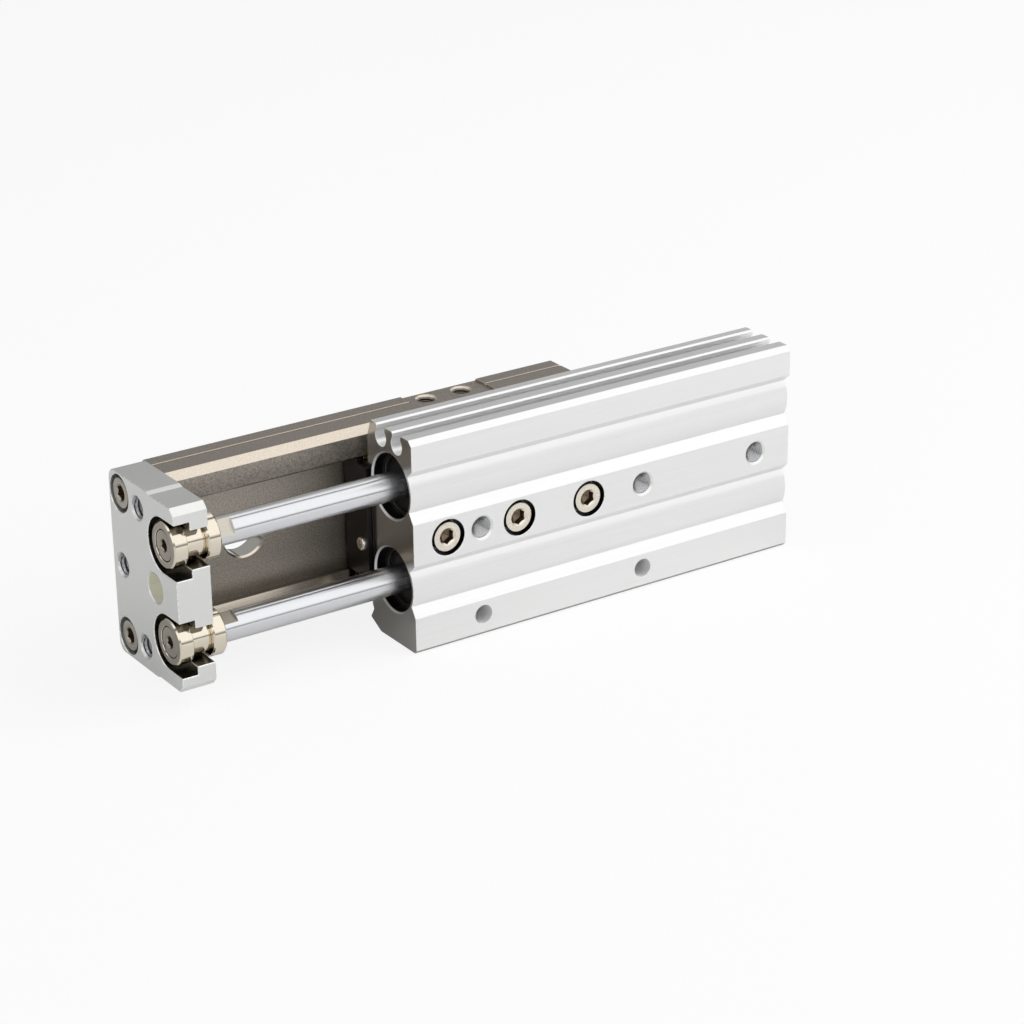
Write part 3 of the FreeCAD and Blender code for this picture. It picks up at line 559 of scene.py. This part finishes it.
# Crossed rollers and cages: ground bearing steel rollers that lean left and right in turn between block
# and table, each in the window of a stamped brass strip.
cage_edge_break = 0.00006
roller_dark = (0.55, 0.55, 0.56)
roller_light = (0.72, 0.72, 0.73)
brass_dark = (0.52, 0.36, 0.14)
brass_light = (0.70, 0.52, 0.24)


def dress(node, finish):
    """Put a finish on a piece that keeps its own mesh."""
    frame["nodes"][node].material_slots[0].material = finish


roller_steel = patterned_finish("bearing_steel", blasted_grain, {"Grain Size": 0.0002},
                                colours=(roller_dark, roller_light), roughness=(0.14, 0.24), relief=0.000001)
cage_brass = patterned_finish("stamped_brass", drawn_lines, {"Line Length": 0.01, "Line Width": 0.0001},
                              colours=(brass_dark, brass_light), roughness=(0.26, 0.40), relief=0.000003)
for side in ("upper", "lower"):
    dress(f"rollers_{side}", roller_steel)
    cage = broken_edges(f"cage_strip_{side}", f"roller_cage_{side}", cage_edge_break, [cage_brass])
    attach(cage, "cages")

# Rod covers: black anodised glands in the front of each bore, with a lip seal, an o-ring and a cushion.
# Each is held by a snap ring of dark spring steel whose eared gap faces the mounting face.
cover_edge_break = 0.00015
ring_edge_break = 0.00008
cover_dark = (0.012, 0.012, 0.012)
cover_light = (0.03, 0.03, 0.03)
spring_dark = (0.10, 0.095, 0.09)
spring_light = (0.20, 0.19, 0.18)
rubber_dark = (0.012, 0.012, 0.012)
rubber_light = (0.022, 0.022, 0.022)
urethane_dark = (0.34, 0.23, 0.09)
urethane_light = (0.45, 0.32, 0.15)
cover_black = patterned_finish("black_anodised", blasted_grain, {"Grain Size": 0.0003},
                               colours=(cover_dark, cover_light), roughness=(0.32, 0.45),
                               relief=0.000003, metallic=0.3)
spring_steel = patterned_finish("phosphated_spring_steel", blasted_grain, {"Grain Size": 0.0004},
                                colours=(spring_dark, spring_light), roughness=(0.30, 0.45), relief=0.000004)
seal_rubber = patterned_finish("nitrile_rubber", blasted_grain, {"Grain Size": 0.0005},
                               colours=(rubber_dark, rubber_light), roughness=(0.45, 0.6),
                               relief=0.000006, metallic=0.0)
bumper_urethane = patterned_finish("moulded_urethane", blasted_grain, {"Grain Size": 0.001},
                                   colours=(urethane_dark, urethane_light), roughness=(0.35, 0.5),
                                   relief=0.000006, metallic=0.0)
rings = broken_edges("front_snap_rings", "rod_cover_snap_rings", ring_edge_break, [spring_steel])
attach(rings, "cylinder")
for side in ("upper", "lower"):
    cover = broken_edges(f"rod_gland_{side}", f"rod_cover_{side}", cover_edge_break, [cover_black])
    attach(cover, "cylinder")
    dress(f"rod_seal_{side}", seal_rubber)
    dress(f"rod_cover_o_ring_{side}", seal_rubber)
    dress(f"rod_bumper_{side}", bumper_urethane)

# Head caps: turned aluminium plugs that close the rear of each bore, sealed by an o-ring and cushioned.
# A snap ring holds each, and a small thread in its middle takes a puller.
cap_edge_break = 0.0003
cap_dark = (0.46, 0.46, 0.46)
cap_light = (0.66, 0.66, 0.655)
puller_pitch = 0.0007
puller_depth = 0.006
puller_radius = 0.0016


def lathe_finish(name, box, pitch, **look):
    """A finish with the lathe's rings about the axis of an upper piece's box and of its twin below."""
    material, tree, shader, spot = new_finish(name)
    low, high = box
    centre = (0.0, (low.y + high.y) / 2, (low.z + high.z) / 2)
    folded = calculate_vector(tree, "ABSOLUTE", spot)
    from_axis = calculate_vector(tree, "SUBTRACT", folded, centre)
    rings = effect(tree, turned_rings, {"Vector": from_axis, "Ring Pitch": pitch})
    surface(tree, shader, rings, **look)
    return material


cap_aluminium = lathe_finish("turned_aluminium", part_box("head_cap_upper"), pitch=0.00012,
                             colours=(cap_dark, cap_light), roughness=(0.22, 0.34), relief=0.000004)
rings = broken_edges("rear_snap_rings", "head_cap_snap_rings", ring_edge_break, [spring_steel])
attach(rings, "cylinder")
for side in ("upper", "lower"):
    cap = broken_edges(f"bore_plug_{side}", f"head_cap_{side}", cap_edge_break, [cap_aluminium])
    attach(cap, "cylinder")
    low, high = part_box(f"head_cap_{side}")
    mouth = (high.x, (low.y + high.y) / 2, (low.z + high.z) / 2)
    thread(f"puller_thread_{side}", puller_radius, puller_pitch, mouth, (-1, 0, 0), puller_depth,
           "cylinder", cap_aluminium)
    dress(f"head_cap_o_ring_{side}", seal_rubber)
    dress(f"head_bumper_{side}", bumper_urethane)

# Pistons: turned aluminium on the tails of the rods, each with a rubber seal, a bonded magnet ring for
# the sensors and a plastic wear ring. They run inside the closed bores.
piston_dark = (0.55, 0.55, 0.55)
piston_light = (0.68, 0.68, 0.68)
magnet_dark = (0.03, 0.03, 0.03)
magnet_light = (0.07, 0.07, 0.07)
wear_dark = (0.42, 0.36, 0.26)
wear_light = (0.52, 0.46, 0.34)
piston_aluminium = patterned_finish("piston_aluminium", blasted_grain, {"Grain Size": 0.0003},
                                    colours=(piston_dark, piston_light), roughness=(0.25, 0.35),
                                    relief=0.000003)
magnet_bonded = patterned_finish("bonded_ferrite", blasted_grain, {"Grain Size": 0.0003},
                                 colours=(magnet_dark, magnet_light), roughness=(0.5, 0.65),
                                 relief=0.000004, metallic=0.0)
wear_plastic = patterned_finish("filled_resin", blasted_grain, {"Grain Size": 0.0005},
                                colours=(wear_dark, wear_light), roughness=(0.4, 0.55),
                                relief=0.000004, metallic=0.0)
for side in ("upper", "lower"):
    dress(f"piston_{side}", piston_aluminium)
    dress(f"piston_seal_{side}", seal_rubber)
    dress(f"piston_magnet_{side}", magnet_bonded)
    dress(f"piston_wear_ring_{side}", wear_plastic)

# Piston rods: hardened steel bars, ground and hard chromed, with two wrench flats behind the washer.
# Fine grinding lines run round them, so that what they mirror blurs along their length.
rod_edge_break = 0.0001
grinding_stretch = (9000.0, 60.0, 60.0)
chrome_dark = (0.685, 0.69, 0.71)
chrome_light = (0.74, 0.745, 0.765)
flat_dark = (0.50, 0.465, 0.40)
flat_light = (0.62, 0.58, 0.51)
flat_nearest = 0.7
flat_farthest = 0.9
level_limit = 0.1
rod_chrome, tree, shader, spot = new_finish("hard_chrome")
grinding = calculate_vector(tree, "MULTIPLY", spot, grinding_stretch)
fine = place(tree, "TexNoise", {"Vector": grinding, "Scale": 1.0, "Detail": 3.0}).outputs["Fac"]
surface(tree, shader, fine, colours=(chrome_dark, chrome_light), roughness=(0.21, 0.24), relief=0.0000001)
round_axis = place(tree, "Tangent", direction_type="RADIAL", axis="X").outputs["Tangent"]
tree.links.new(round_axis, shader.inputs["Tangent"])
shader.inputs["Anisotropic"].default_value = 0.9
shader.inputs["Anisotropic Rotation"].default_value = 0.25
rod_flat = patterned_finish("milled_flat", drawn_lines, {"Line Length": 0.004, "Line Width": 0.0001},
                            colours=(flat_dark, flat_light), roughness=(0.30, 0.42), relief=0.000003)
rod_finishes = [rod_chrome, rod_flat, rod_chrome]
for side in ("upper", "lower"):
    rod = broken_edges(f"chromed_rod_{side}", f"piston_rod_{side}", rod_edge_break, rod_finishes)
    low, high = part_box(f"piston_rod_{side}")
    rod_radius = (high.z - low.z) / 2
    for face in rod.data.polygons:
        from_axis = math.hypot(face.center.y - (low.y + high.y) / 2, face.center.z - (low.z + high.z) / 2)
        on_flat = flat_nearest * rod_radius < from_axis < flat_farthest * rod_radius
        if on_flat and abs(face.normal.x) < level_limit:
            give(rod, face, rod_flat)
    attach(rod, "table")

# Slide table: a steel channel, milled, blasted and nickel plated, with a raceway in each inner wall.
# It shows a fine dull grain, ground bevels along its inner edges and a scribed line along each flank.
# Only the bevels that face up and near are painted cream, a painted highlight on their ground finish; the
# scribed lines and stop countersinks share that cream. The raceways are ground bright. The land beside the
# lower one and the down-facing inner bevels are painted as dark as the threads, as shade.
table_low, table_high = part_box("slide_table")
table_bevel_width = 0.0004
table_edge_part = 0.25
table_dark = (0.27, 0.237, 0.206)
table_light = (0.51, 0.468, 0.417)
table_edge_light = (0.72, 0.66, 0.58)
bevel_highlight_dark = (0.60, 0.53, 0.45)
bevel_highlight_light = (0.80, 0.71, 0.60)
tapped_shade_dark = (0.17, 0.153, 0.132)
tapped_shade_light = (0.27, 0.247, 0.215)
raceway_dark = (0.64, 0.57, 0.475)
raceway_light = (0.80, 0.72, 0.61)
bored_dark = (0.66, 0.64, 0.58)
bored_light = (0.76, 0.74, 0.68)
table_nickel = patterned_finish("blasted_nickel", blasted_grain, {"Grain Size": 0.00045},
                                colours=(table_dark, table_light), roughness=(0.36, 0.5), relief=0.00003)
table_edge = patterned_finish("nickel_edge", blasted_grain, {"Grain Size": 0.0003},
                              colours=(table_light, table_edge_light), roughness=(0.28, 0.4), relief=0.000004)
# Ground bevel finish, partly a painted highlight: only bevels that face up towards the light get this cream.
bevel_and_highlight = patterned_finish("painted_highlight_bevel", blasted_grain, {"Grain Size": 0.0003},
                               colours=(bevel_highlight_dark, bevel_highlight_light), roughness=(0.34, 0.44), relief=0.000008)
# Painted shade: the tapped walls, the land beside the lower raceway and the down-facing inner bevels take
# this dark colour.
tapped_and_shade = patterned_finish("painted_shade_nickel", blasted_grain, {"Grain Size": 0.0002},
                                colours=(tapped_shade_dark, tapped_shade_light), roughness=(0.24, 0.36), relief=0.000002)
raceway_ground = patterned_finish("ground_raceway", drawn_lines, {"Line Length": 0.02, "Line Width": 0.0001},
                                  colours=(raceway_dark, raceway_light), roughness=(0.18, 0.26),
                                  relief=0.000001)
access_bored = patterned_finish("bored_wall", drawn_lines, {"Line Length": 0.02, "Line Width": 0.0002},
                                colours=(bored_dark, bored_light), roughness=(0.10, 0.16), relief=0.0000005)


def table_edge_share(edge):
    """The inner edges of the two flanks have the full bevel, the other edges a quarter of it."""
    flank_margin = 0.0001
    outer_strip = 0.004
    at_flank = all(corner.co.y < table_low.y + flank_margin for corner in edge.verts)
    inner = all(abs(corner.co.z) < table_high.z - outer_strip for corner in edge.verts)
    return 1.0 if at_flank and inner else table_edge_part


table_finishes = [table_nickel, bevel_and_highlight, tapped_and_shade, raceway_ground, access_bored, table_edge]
table = broken_edges("table_channel", "slide_table", table_bevel_width, table_finishes, table_edge_share)
outer_wall = 0.003
broad = 0.00001
bevel_slant = 0.6
bevel_depth = 0.0005
scribe_height = 0.001
scribe_depth = 0.004
access = mounts["table_access_hole"]["pos_m"]
access_radius = mount_size("table_access_hole", "r_mm")
for face in table.data.polygons:
    middle = face.center
    leaning = abs(face.normal.y) > slanted and abs(face.normal.z) > slanted
    inner = abs(middle.z) < table_high.z - outer_wall
    from_access = math.hypot(middle.x - access[0], middle.z - access[2])
    bevel = face.normal.y < -bevel_slant and face.normal.z > bevel_slant and face.area > broad
    lower_land = inner and face.normal.z > facing and middle.z < 0 and face.area > broad
    at_top = middle.z > table_high.z - scribe_height
    scribed = at_top and face.normal.y < -facing and middle.y > table_low.y + scribe_depth
    if inner and leaning and middle.y > table_low.y + bevel_depth:
        give(table, face, raceway_ground)
    # Painted shade: the lower land and the down-facing inner bevels get the dark thread colour.
    elif lower_land or inner and leaning and face.normal.z < 0:
        give(table, face, tapped_and_shade)
    # Painted highlight: bevels that face up and near take the cream colour; the scribed lines share it.
    elif bevel or scribed:
        give(table, face, bevel_and_highlight)
    elif from_access < access_radius and runs_along(face, "y"):
        give(table, face, access_bored)
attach(table, "table")

payload_depth = 0.007
load_x = mounts["table_threads_outer"]["pos_m"][0]
load_radius = mount_size("table_threads_outer", "hole_r_mm")
load_pitch = mount_size("table_threads_outer", "spacing_x_mm") / 2
load_z = mount_size("table_threads_outer", "spacing_y_mm") / 2
for column, x in enumerate((load_x - load_pitch, load_x, load_x + load_pitch), 1):
    for side, z in (("upper", load_z), ("lower", -load_z)):
        thread(f"load_thread_{side}_{column}", load_radius, coarse_m5_pitch, (x, table_high.y, z),
               (0, -1, 0), payload_depth, "table", tapped_and_shade)
        finish_hole(table, tapped_and_shade, x, z, load_radius)
stop_depth = 0.005
stop_pocket_depth = 0.0007
stop_floor = table_high.z - stop_pocket_depth
stop_cone_reach = 0.004
cone_slant = (0.3, 0.9)
stop_x, stop_y = mounts["stop_threads"]["pos_m"][:2]
stop_radius = mount_size("stop_threads", "hole_r_mm")
half_pitch = mount_size("stop_threads", "spacing_x_mm") / 2
for number, x in enumerate((stop_x - half_pitch, stop_x + half_pitch), 1):
    thread(f"stop_thread_{number}", stop_radius, coarse_m5_pitch, (x, stop_y, stop_floor),
           (0, 0, -1), stop_depth, "table", tapped_and_shade)
    for face in table.data.polygons:
        from_axis = math.hypot(face.center.x - x, face.center.y - stop_y)
        # The countersink cones take the cream bevel colour with its painted highlight.
        if from_axis < stop_cone_reach and cone_slant[0] < face.normal.z < cone_slant[1]:
            give(table, face, bevel_and_highlight)
        elif from_axis < stop_radius and face.center.z > 0 and runs_along(face, "z"):
            give(table, face, tapped_and_shade)

# End plate: milled aluminium, clear anodised, fixed to the front of the table by two screws in a darker
# nickel, which is painted shade. Two stepped notches, open to the near side, take the floating rod ends;
# their walls are painted darker as shade, and the through hole's wall is painted a light olive as reflected
# light. Its broken edges shine.
plate_low, plate_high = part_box("end_plate")
plate_edge_break = 0.0002
plate_dark = (0.72, 0.725, 0.71)
plate_light = (0.79, 0.795, 0.78)
notch_shade_dark = (0.24, 0.23, 0.20)
notch_shade_light = (0.34, 0.33, 0.29)
hole_lit_dark = (0.75, 0.74, 0.625)
hole_lit_light = (0.88, 0.87, 0.745)
screw_shade_dark = (0.36, 0.33, 0.285)
screw_shade_light = (0.46, 0.425, 0.37)
plate_skin = patterned_finish("plate_anodised", blasted_grain, {"Grain Size": 0.00015},
                              colours=(plate_dark, plate_light), roughness=(0.32, 0.40),
                              relief=0.000004, metallic=0.85)
# Painted shade: the notch walls are a dark copy of the plate's tone, for the shade inside the notches.
notch_shade_paint = patterned_finish("painted_shade_notch", drawn_lines, {"Line Length": 0.01, "Line Width": 0.0001},
                              colours=(notch_shade_dark, notch_shade_light), roughness=(0.18, 0.28), relief=0.000001)
# Painted light: a light olive wall, for the lit far wall of the hole and the brown table it mirrors.
hole_light_paint = patterned_finish("painted_light_hole", drawn_lines, {"Line Length": 0.01, "Line Width": 0.0001},
                             colours=(hole_lit_dark, hole_lit_light), roughness=(0.25, 0.35),
                             relief=0.000001, metallic=0.2)
plate_finishes = [plate_skin, notch_shade_paint, hole_light_paint, thread_painted_shade, body_edge]
plate = broken_edges("front_plate", "end_plate", plate_edge_break, plate_finishes)
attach(plate, "table")

plate_thread_depth = 0.008
notch_step = 0.0022
near_face_margin = 0.0003
pair_y = mounts["plate_threads"]["pos_m"][1]
pair_z = mount_size("plate_threads", "spacing_y_mm") / 2
thread_radius = mount_size("plate_threads", "hole_r_mm")
single_y = mounts["plate_thread_single"]["pos_m"][1]
thread_places = [("upper", pair_y, pair_z), ("lower", pair_y, -pair_z), ("middle", single_y, 0.0)]
hole_y = mounts["plate_through_hole"]["pos_m"][1]
hole_radius = mount_size("plate_through_hole", "r_mm")
low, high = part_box("floating_bush_upper")
notch_reach = (high.z - low.z) / 2 + notch_step
for face in plate.data.polygons:
    between_faces = plate_low.x + plate_edge_break < face.center.x < plate_high.x - plate_edge_break
    if face.material_index > 0 or not between_faces:
        continue
    from_rod = math.hypot(max(face.center.y - bore_y, 0.0), abs(face.center.z) - bore_z)
    from_hole = math.hypot(face.center.y - hole_y, face.center.z)
    from_threads = [math.hypot(face.center.y - y, face.center.z - z) for side, y, z in thread_places]
    # Painted shade: faces inside the notches take the dark notch colour.
    if from_rod < notch_reach and face.center.y > plate_low.y + near_face_margin:
        give(plate, face, notch_shade_paint)
    # Painted light: the through hole's wall takes the light olive colour.
    elif from_hole < hole_radius:
        give(plate, face, hole_light_paint)
    # Painted shade: the plate's tapped walls take the dark thread colour.
    elif min(from_threads) < thread_radius:
        give(plate, face, thread_painted_shade)
for side, y, z in thread_places:
    thread(f"plate_thread_{side}", thread_radius, coarse_m6_pitch, (plate_low.x, y, z), (1, 0, 0),
           plate_thread_depth, "table", thread_painted_shade)

# Painted shade: the plate screws take a darker copy of the screw nickel, for the shade on the plate's side.
nickel_painted_shade = patterned_finish("nickel_painted_shade", blasted_grain, {"Grain Size": 0.0003},
                               colours=(screw_shade_dark, screw_shade_light), roughness=(0.24, 0.36), relief=0.000004)
low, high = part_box("end_plate_screws")
screw_seat = low.x + screw_head_height
for side, z in (("lower", low.z + screw_head_radius), ("upper", high.z - screw_head_radius)):
    cap_screw(f"plate_screw_{side}", screw_form, high.x - screw_seat, (screw_seat, (low.y + high.y) / 2, z),
              (1, 0, 0), "end_plate_screws", "table", nickel_painted_shade)

# Floating rod ends: turned steel bushes in the notches, thick washers behind the plate, and low head
# screws into the rods. All are nickel plated; bush fronts and screws show the rings of the lathe, and they
# take a darker copy of the nickel as painted shade.
bush_edge_break = 0.00014
bush_dark = (0.74, 0.67, 0.555)
bush_light = (0.78, 0.71, 0.60)
front_shade_dark = (0.29, 0.262, 0.22)
front_shade_light = (0.38, 0.35, 0.30)
# Painted shade: a darker copy of the bush nickel, with the lathe's rings, for the fronts and screws.
front_shade_paint = lathe_finish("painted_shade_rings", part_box("floating_bush_upper"), pitch=0.00016,
                         colours=(front_shade_dark, front_shade_light), roughness=(0.20, 0.28), relief=0.000002)
bush_round = patterned_finish("polished_nickel", blasted_grain, {"Grain Size": 0.0004},
                              colours=(bush_dark, bush_light), roughness=(0.07, 0.09), relief=0.0000002)
bush_finishes = [bush_round, front_shade_paint, bush_round]
end_screw_head_height = 0.0031
end_screw_key = 0.003
end_screw_key_depth = 0.002
end_screw_form = (screw_head_radius, end_screw_head_height, end_screw_key, end_screw_key_depth,
                  screw_shank_radius)
screws_low, screws_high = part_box("rod_end_screws")
for side in ("upper", "lower"):
    bush = broken_edges(f"rod_bush_{side}", f"floating_bush_{side}", bush_edge_break, bush_finishes)
    for face in bush.data.polygons:
        # Painted shade: faces that look forward along -X take the darker copy; all others keep the polished
        # nickel.
        give(bush, face, front_shade_paint if face.normal.x < -facing else bush_round)
    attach(bush, "table")
    washer = broken_edges(f"thick_washer_{side}", f"rod_washer_{side}", bush_edge_break, [bush_round])
    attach(washer, "table")
    low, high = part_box(f"floating_bush_{side}")
    seat = (screws_low.x + end_screw_head_height, (low.y + high.y) / 2, (low.z + high.z) / 2)
    # The rod end screws take the darker front colour, which is painted shade.
    cap_screw(f"rod_end_screw_{side}", end_screw_form, screws_high.x - seat[0], seat, (1, 0, 0),
              "rod_end_screws", "table", front_shade_paint)

# Floor: a plain pale sweep under the part, which shows white and keeps a soft shadow.
# Most of what the camera sees of it is its own glow; the rest takes the lamps' light and the shadow.
floor_size = 12.0
floor_colour = (0.90, 0.90, 0.90, 1.0)
floor_roughness = 0.9
floor_seen = 0.86
floor_mirrored = 0.06
white = (1.0, 1.0, 1.0, 1.0)
bpy.ops.object.select_all(action="DESELECT")
bpy.ops.mesh.primitive_plane_add(size=floor_size, location=(0, 0, cad_box[0].z))
floor = bpy.context.active_object
floor.name = "floor"
floor_white = bpy.data.materials.new("pale_floor")
floor_white.use_nodes = True
tree = floor_white.node_tree
shader = tree.nodes["Principled BSDF"]
shader.inputs["Base Color"].default_value = floor_colour
shader.inputs["Roughness"].default_value = floor_roughness
ray = place(tree, "LightPath").outputs
seen = calculate(tree, "MULTIPLY", ray["Is Camera Ray"], floor_seen)
mirrored = calculate(tree, "MULTIPLY", ray["Is Glossy Ray"], floor_mirrored)
seen_through = calculate(tree, "MAXIMUM", seen, ray["Is Transmission Ray"])
share = calculate(tree, "MAXIMUM", seen_through, mirrored)
glow = place(tree, "Emission", {"Color": white, "Strength": 1.0}).outputs[0]
mixed = place(tree, "MixShader", {0: share, 1: shader.outputs[0], 2: glow}).outputs[0]
tree.links.new(mixed, tree.nodes["Material Output"].inputs["Surface"])
floor.data.materials.append(floor_white)

# Studio: a white sweep all round. The metal mirrors it dimmer behind the part, with a dark gap just
# above the floor and a narrow one that passes overhead from side to side. Two soft boxes, which no
# mirror shows, light the near side.
ambient = 0.42
front_level = 1.25
behind_level = 0.38
fall_start = 0.25
fall_end = 0.75
horizon_gap = (0.06, 0.20, 0.25)
overhead_gap = (0.09, 0.17, 0.12)
world = bpy.data.worlds.new("studio")
world.use_nodes = True
bpy.context.scene.world = world
tree = world.node_tree
backdrop = tree.nodes["Background"]
ray = place(tree, "LightPath").outputs
direction = place(tree, "TexCoord").outputs["Generated"]
parts = place(tree, "SeparateXYZ", {"Vector": direction}).outputs
fall = {"Value": parts["Y"], "From Min": fall_start, "From Max": fall_end,
        "To Min": front_level, "To Max": behind_level}
sweep = place(tree, "MapRange", fall, interpolation_type="SMOOTHSTEP").outputs["Result"]
for coordinate, (centre, half_width, darkest) in ((parts["Z"], horizon_gap), (parts["Y"], overhead_gap)):
    distance = calculate(tree, "ABSOLUTE", calculate(tree, "SUBTRACT", coordinate, centre))
    rise = {"Value": distance, "From Max": half_width, "To Min": darkest, "To Max": 1.0}
    gap = place(tree, "MapRange", rise, interpolation_type="SMOOTHSTEP").outputs["Result"]
    sweep = calculate(tree, "MULTIPLY", sweep, gap)
mirrored = calculate(tree, "MULTIPLY", ray["Is Glossy Ray"], sweep)
lit = calculate(tree, "MULTIPLY", ray["Is Diffuse Ray"], ambient)
seen = calculate(tree, "MAXIMUM", ray["Is Camera Ray"], ray["Is Transmission Ray"])
given = calculate(tree, "MAXIMUM", mirrored, lit)
level = calculate(tree, "MAXIMUM", seen, given)
tree.links.new(level, backdrop.inputs["Strength"])
backdrop.inputs["Color"].default_value = white


def soft_box(name, place_at, aim, size, power):
    """A square area lamp turned towards a point, which mirrors don't show."""
    lamp = bpy.data.lights.new(name, "AREA")
    lamp.shape = "SQUARE"
    lamp.size = size
    lamp.energy = power
    holder = bpy.data.objects.new(name, lamp)
    bpy.context.scene.collection.objects.link(holder)
    holder.location = place_at
    holder.rotation_mode = "QUATERNION"
    holder.rotation_quaternion = (Vector(aim) - Vector(place_at)).to_track_quat("-Z", "Y")
    holder.visible_glossy = False


middle = (cad_box[0] + cad_box[1]) / 2
soft_box("key_box", middle + Vector((0.70, -0.60, 0.68)), middle, size=1.4, power=14.0)
soft_box("side_box", middle + Vector((-0.9, -0.6, 0.5)), middle, size=0.8, power=1.5)

# Camera: the photograph's own standpoint and viewing angle.
# The lens gives the part about the share of the picture that it has there.
camera_place = (-0.433, -0.625, 0.318)
camera_azimuth = math.radians(-33.63)
camera_elevation = math.radians(22.81)
camera_roll = math.radians(-0.82)
camera_lens = 105.0
camera = bpy.data.objects.new("camera", bpy.data.cameras.new("camera"))
bpy.context.scene.collection.objects.link(camera)
camera.data.lens = camera_lens
camera.data.sensor_width = 36.0
camera.data.clip_start = 0.01
camera.location = camera_place
level_turn = Euler((math.pi / 2 - camera_elevation, 0, camera_azimuth)).to_quaternion()
camera.rotation_mode = "QUATERNION"
camera.rotation_quaternion = level_turn @ Quaternion((0, 0, 1), camera_roll)
bpy.context.scene.camera = camera
bpy.context.scene.view_settings.view_transform = "Standard"
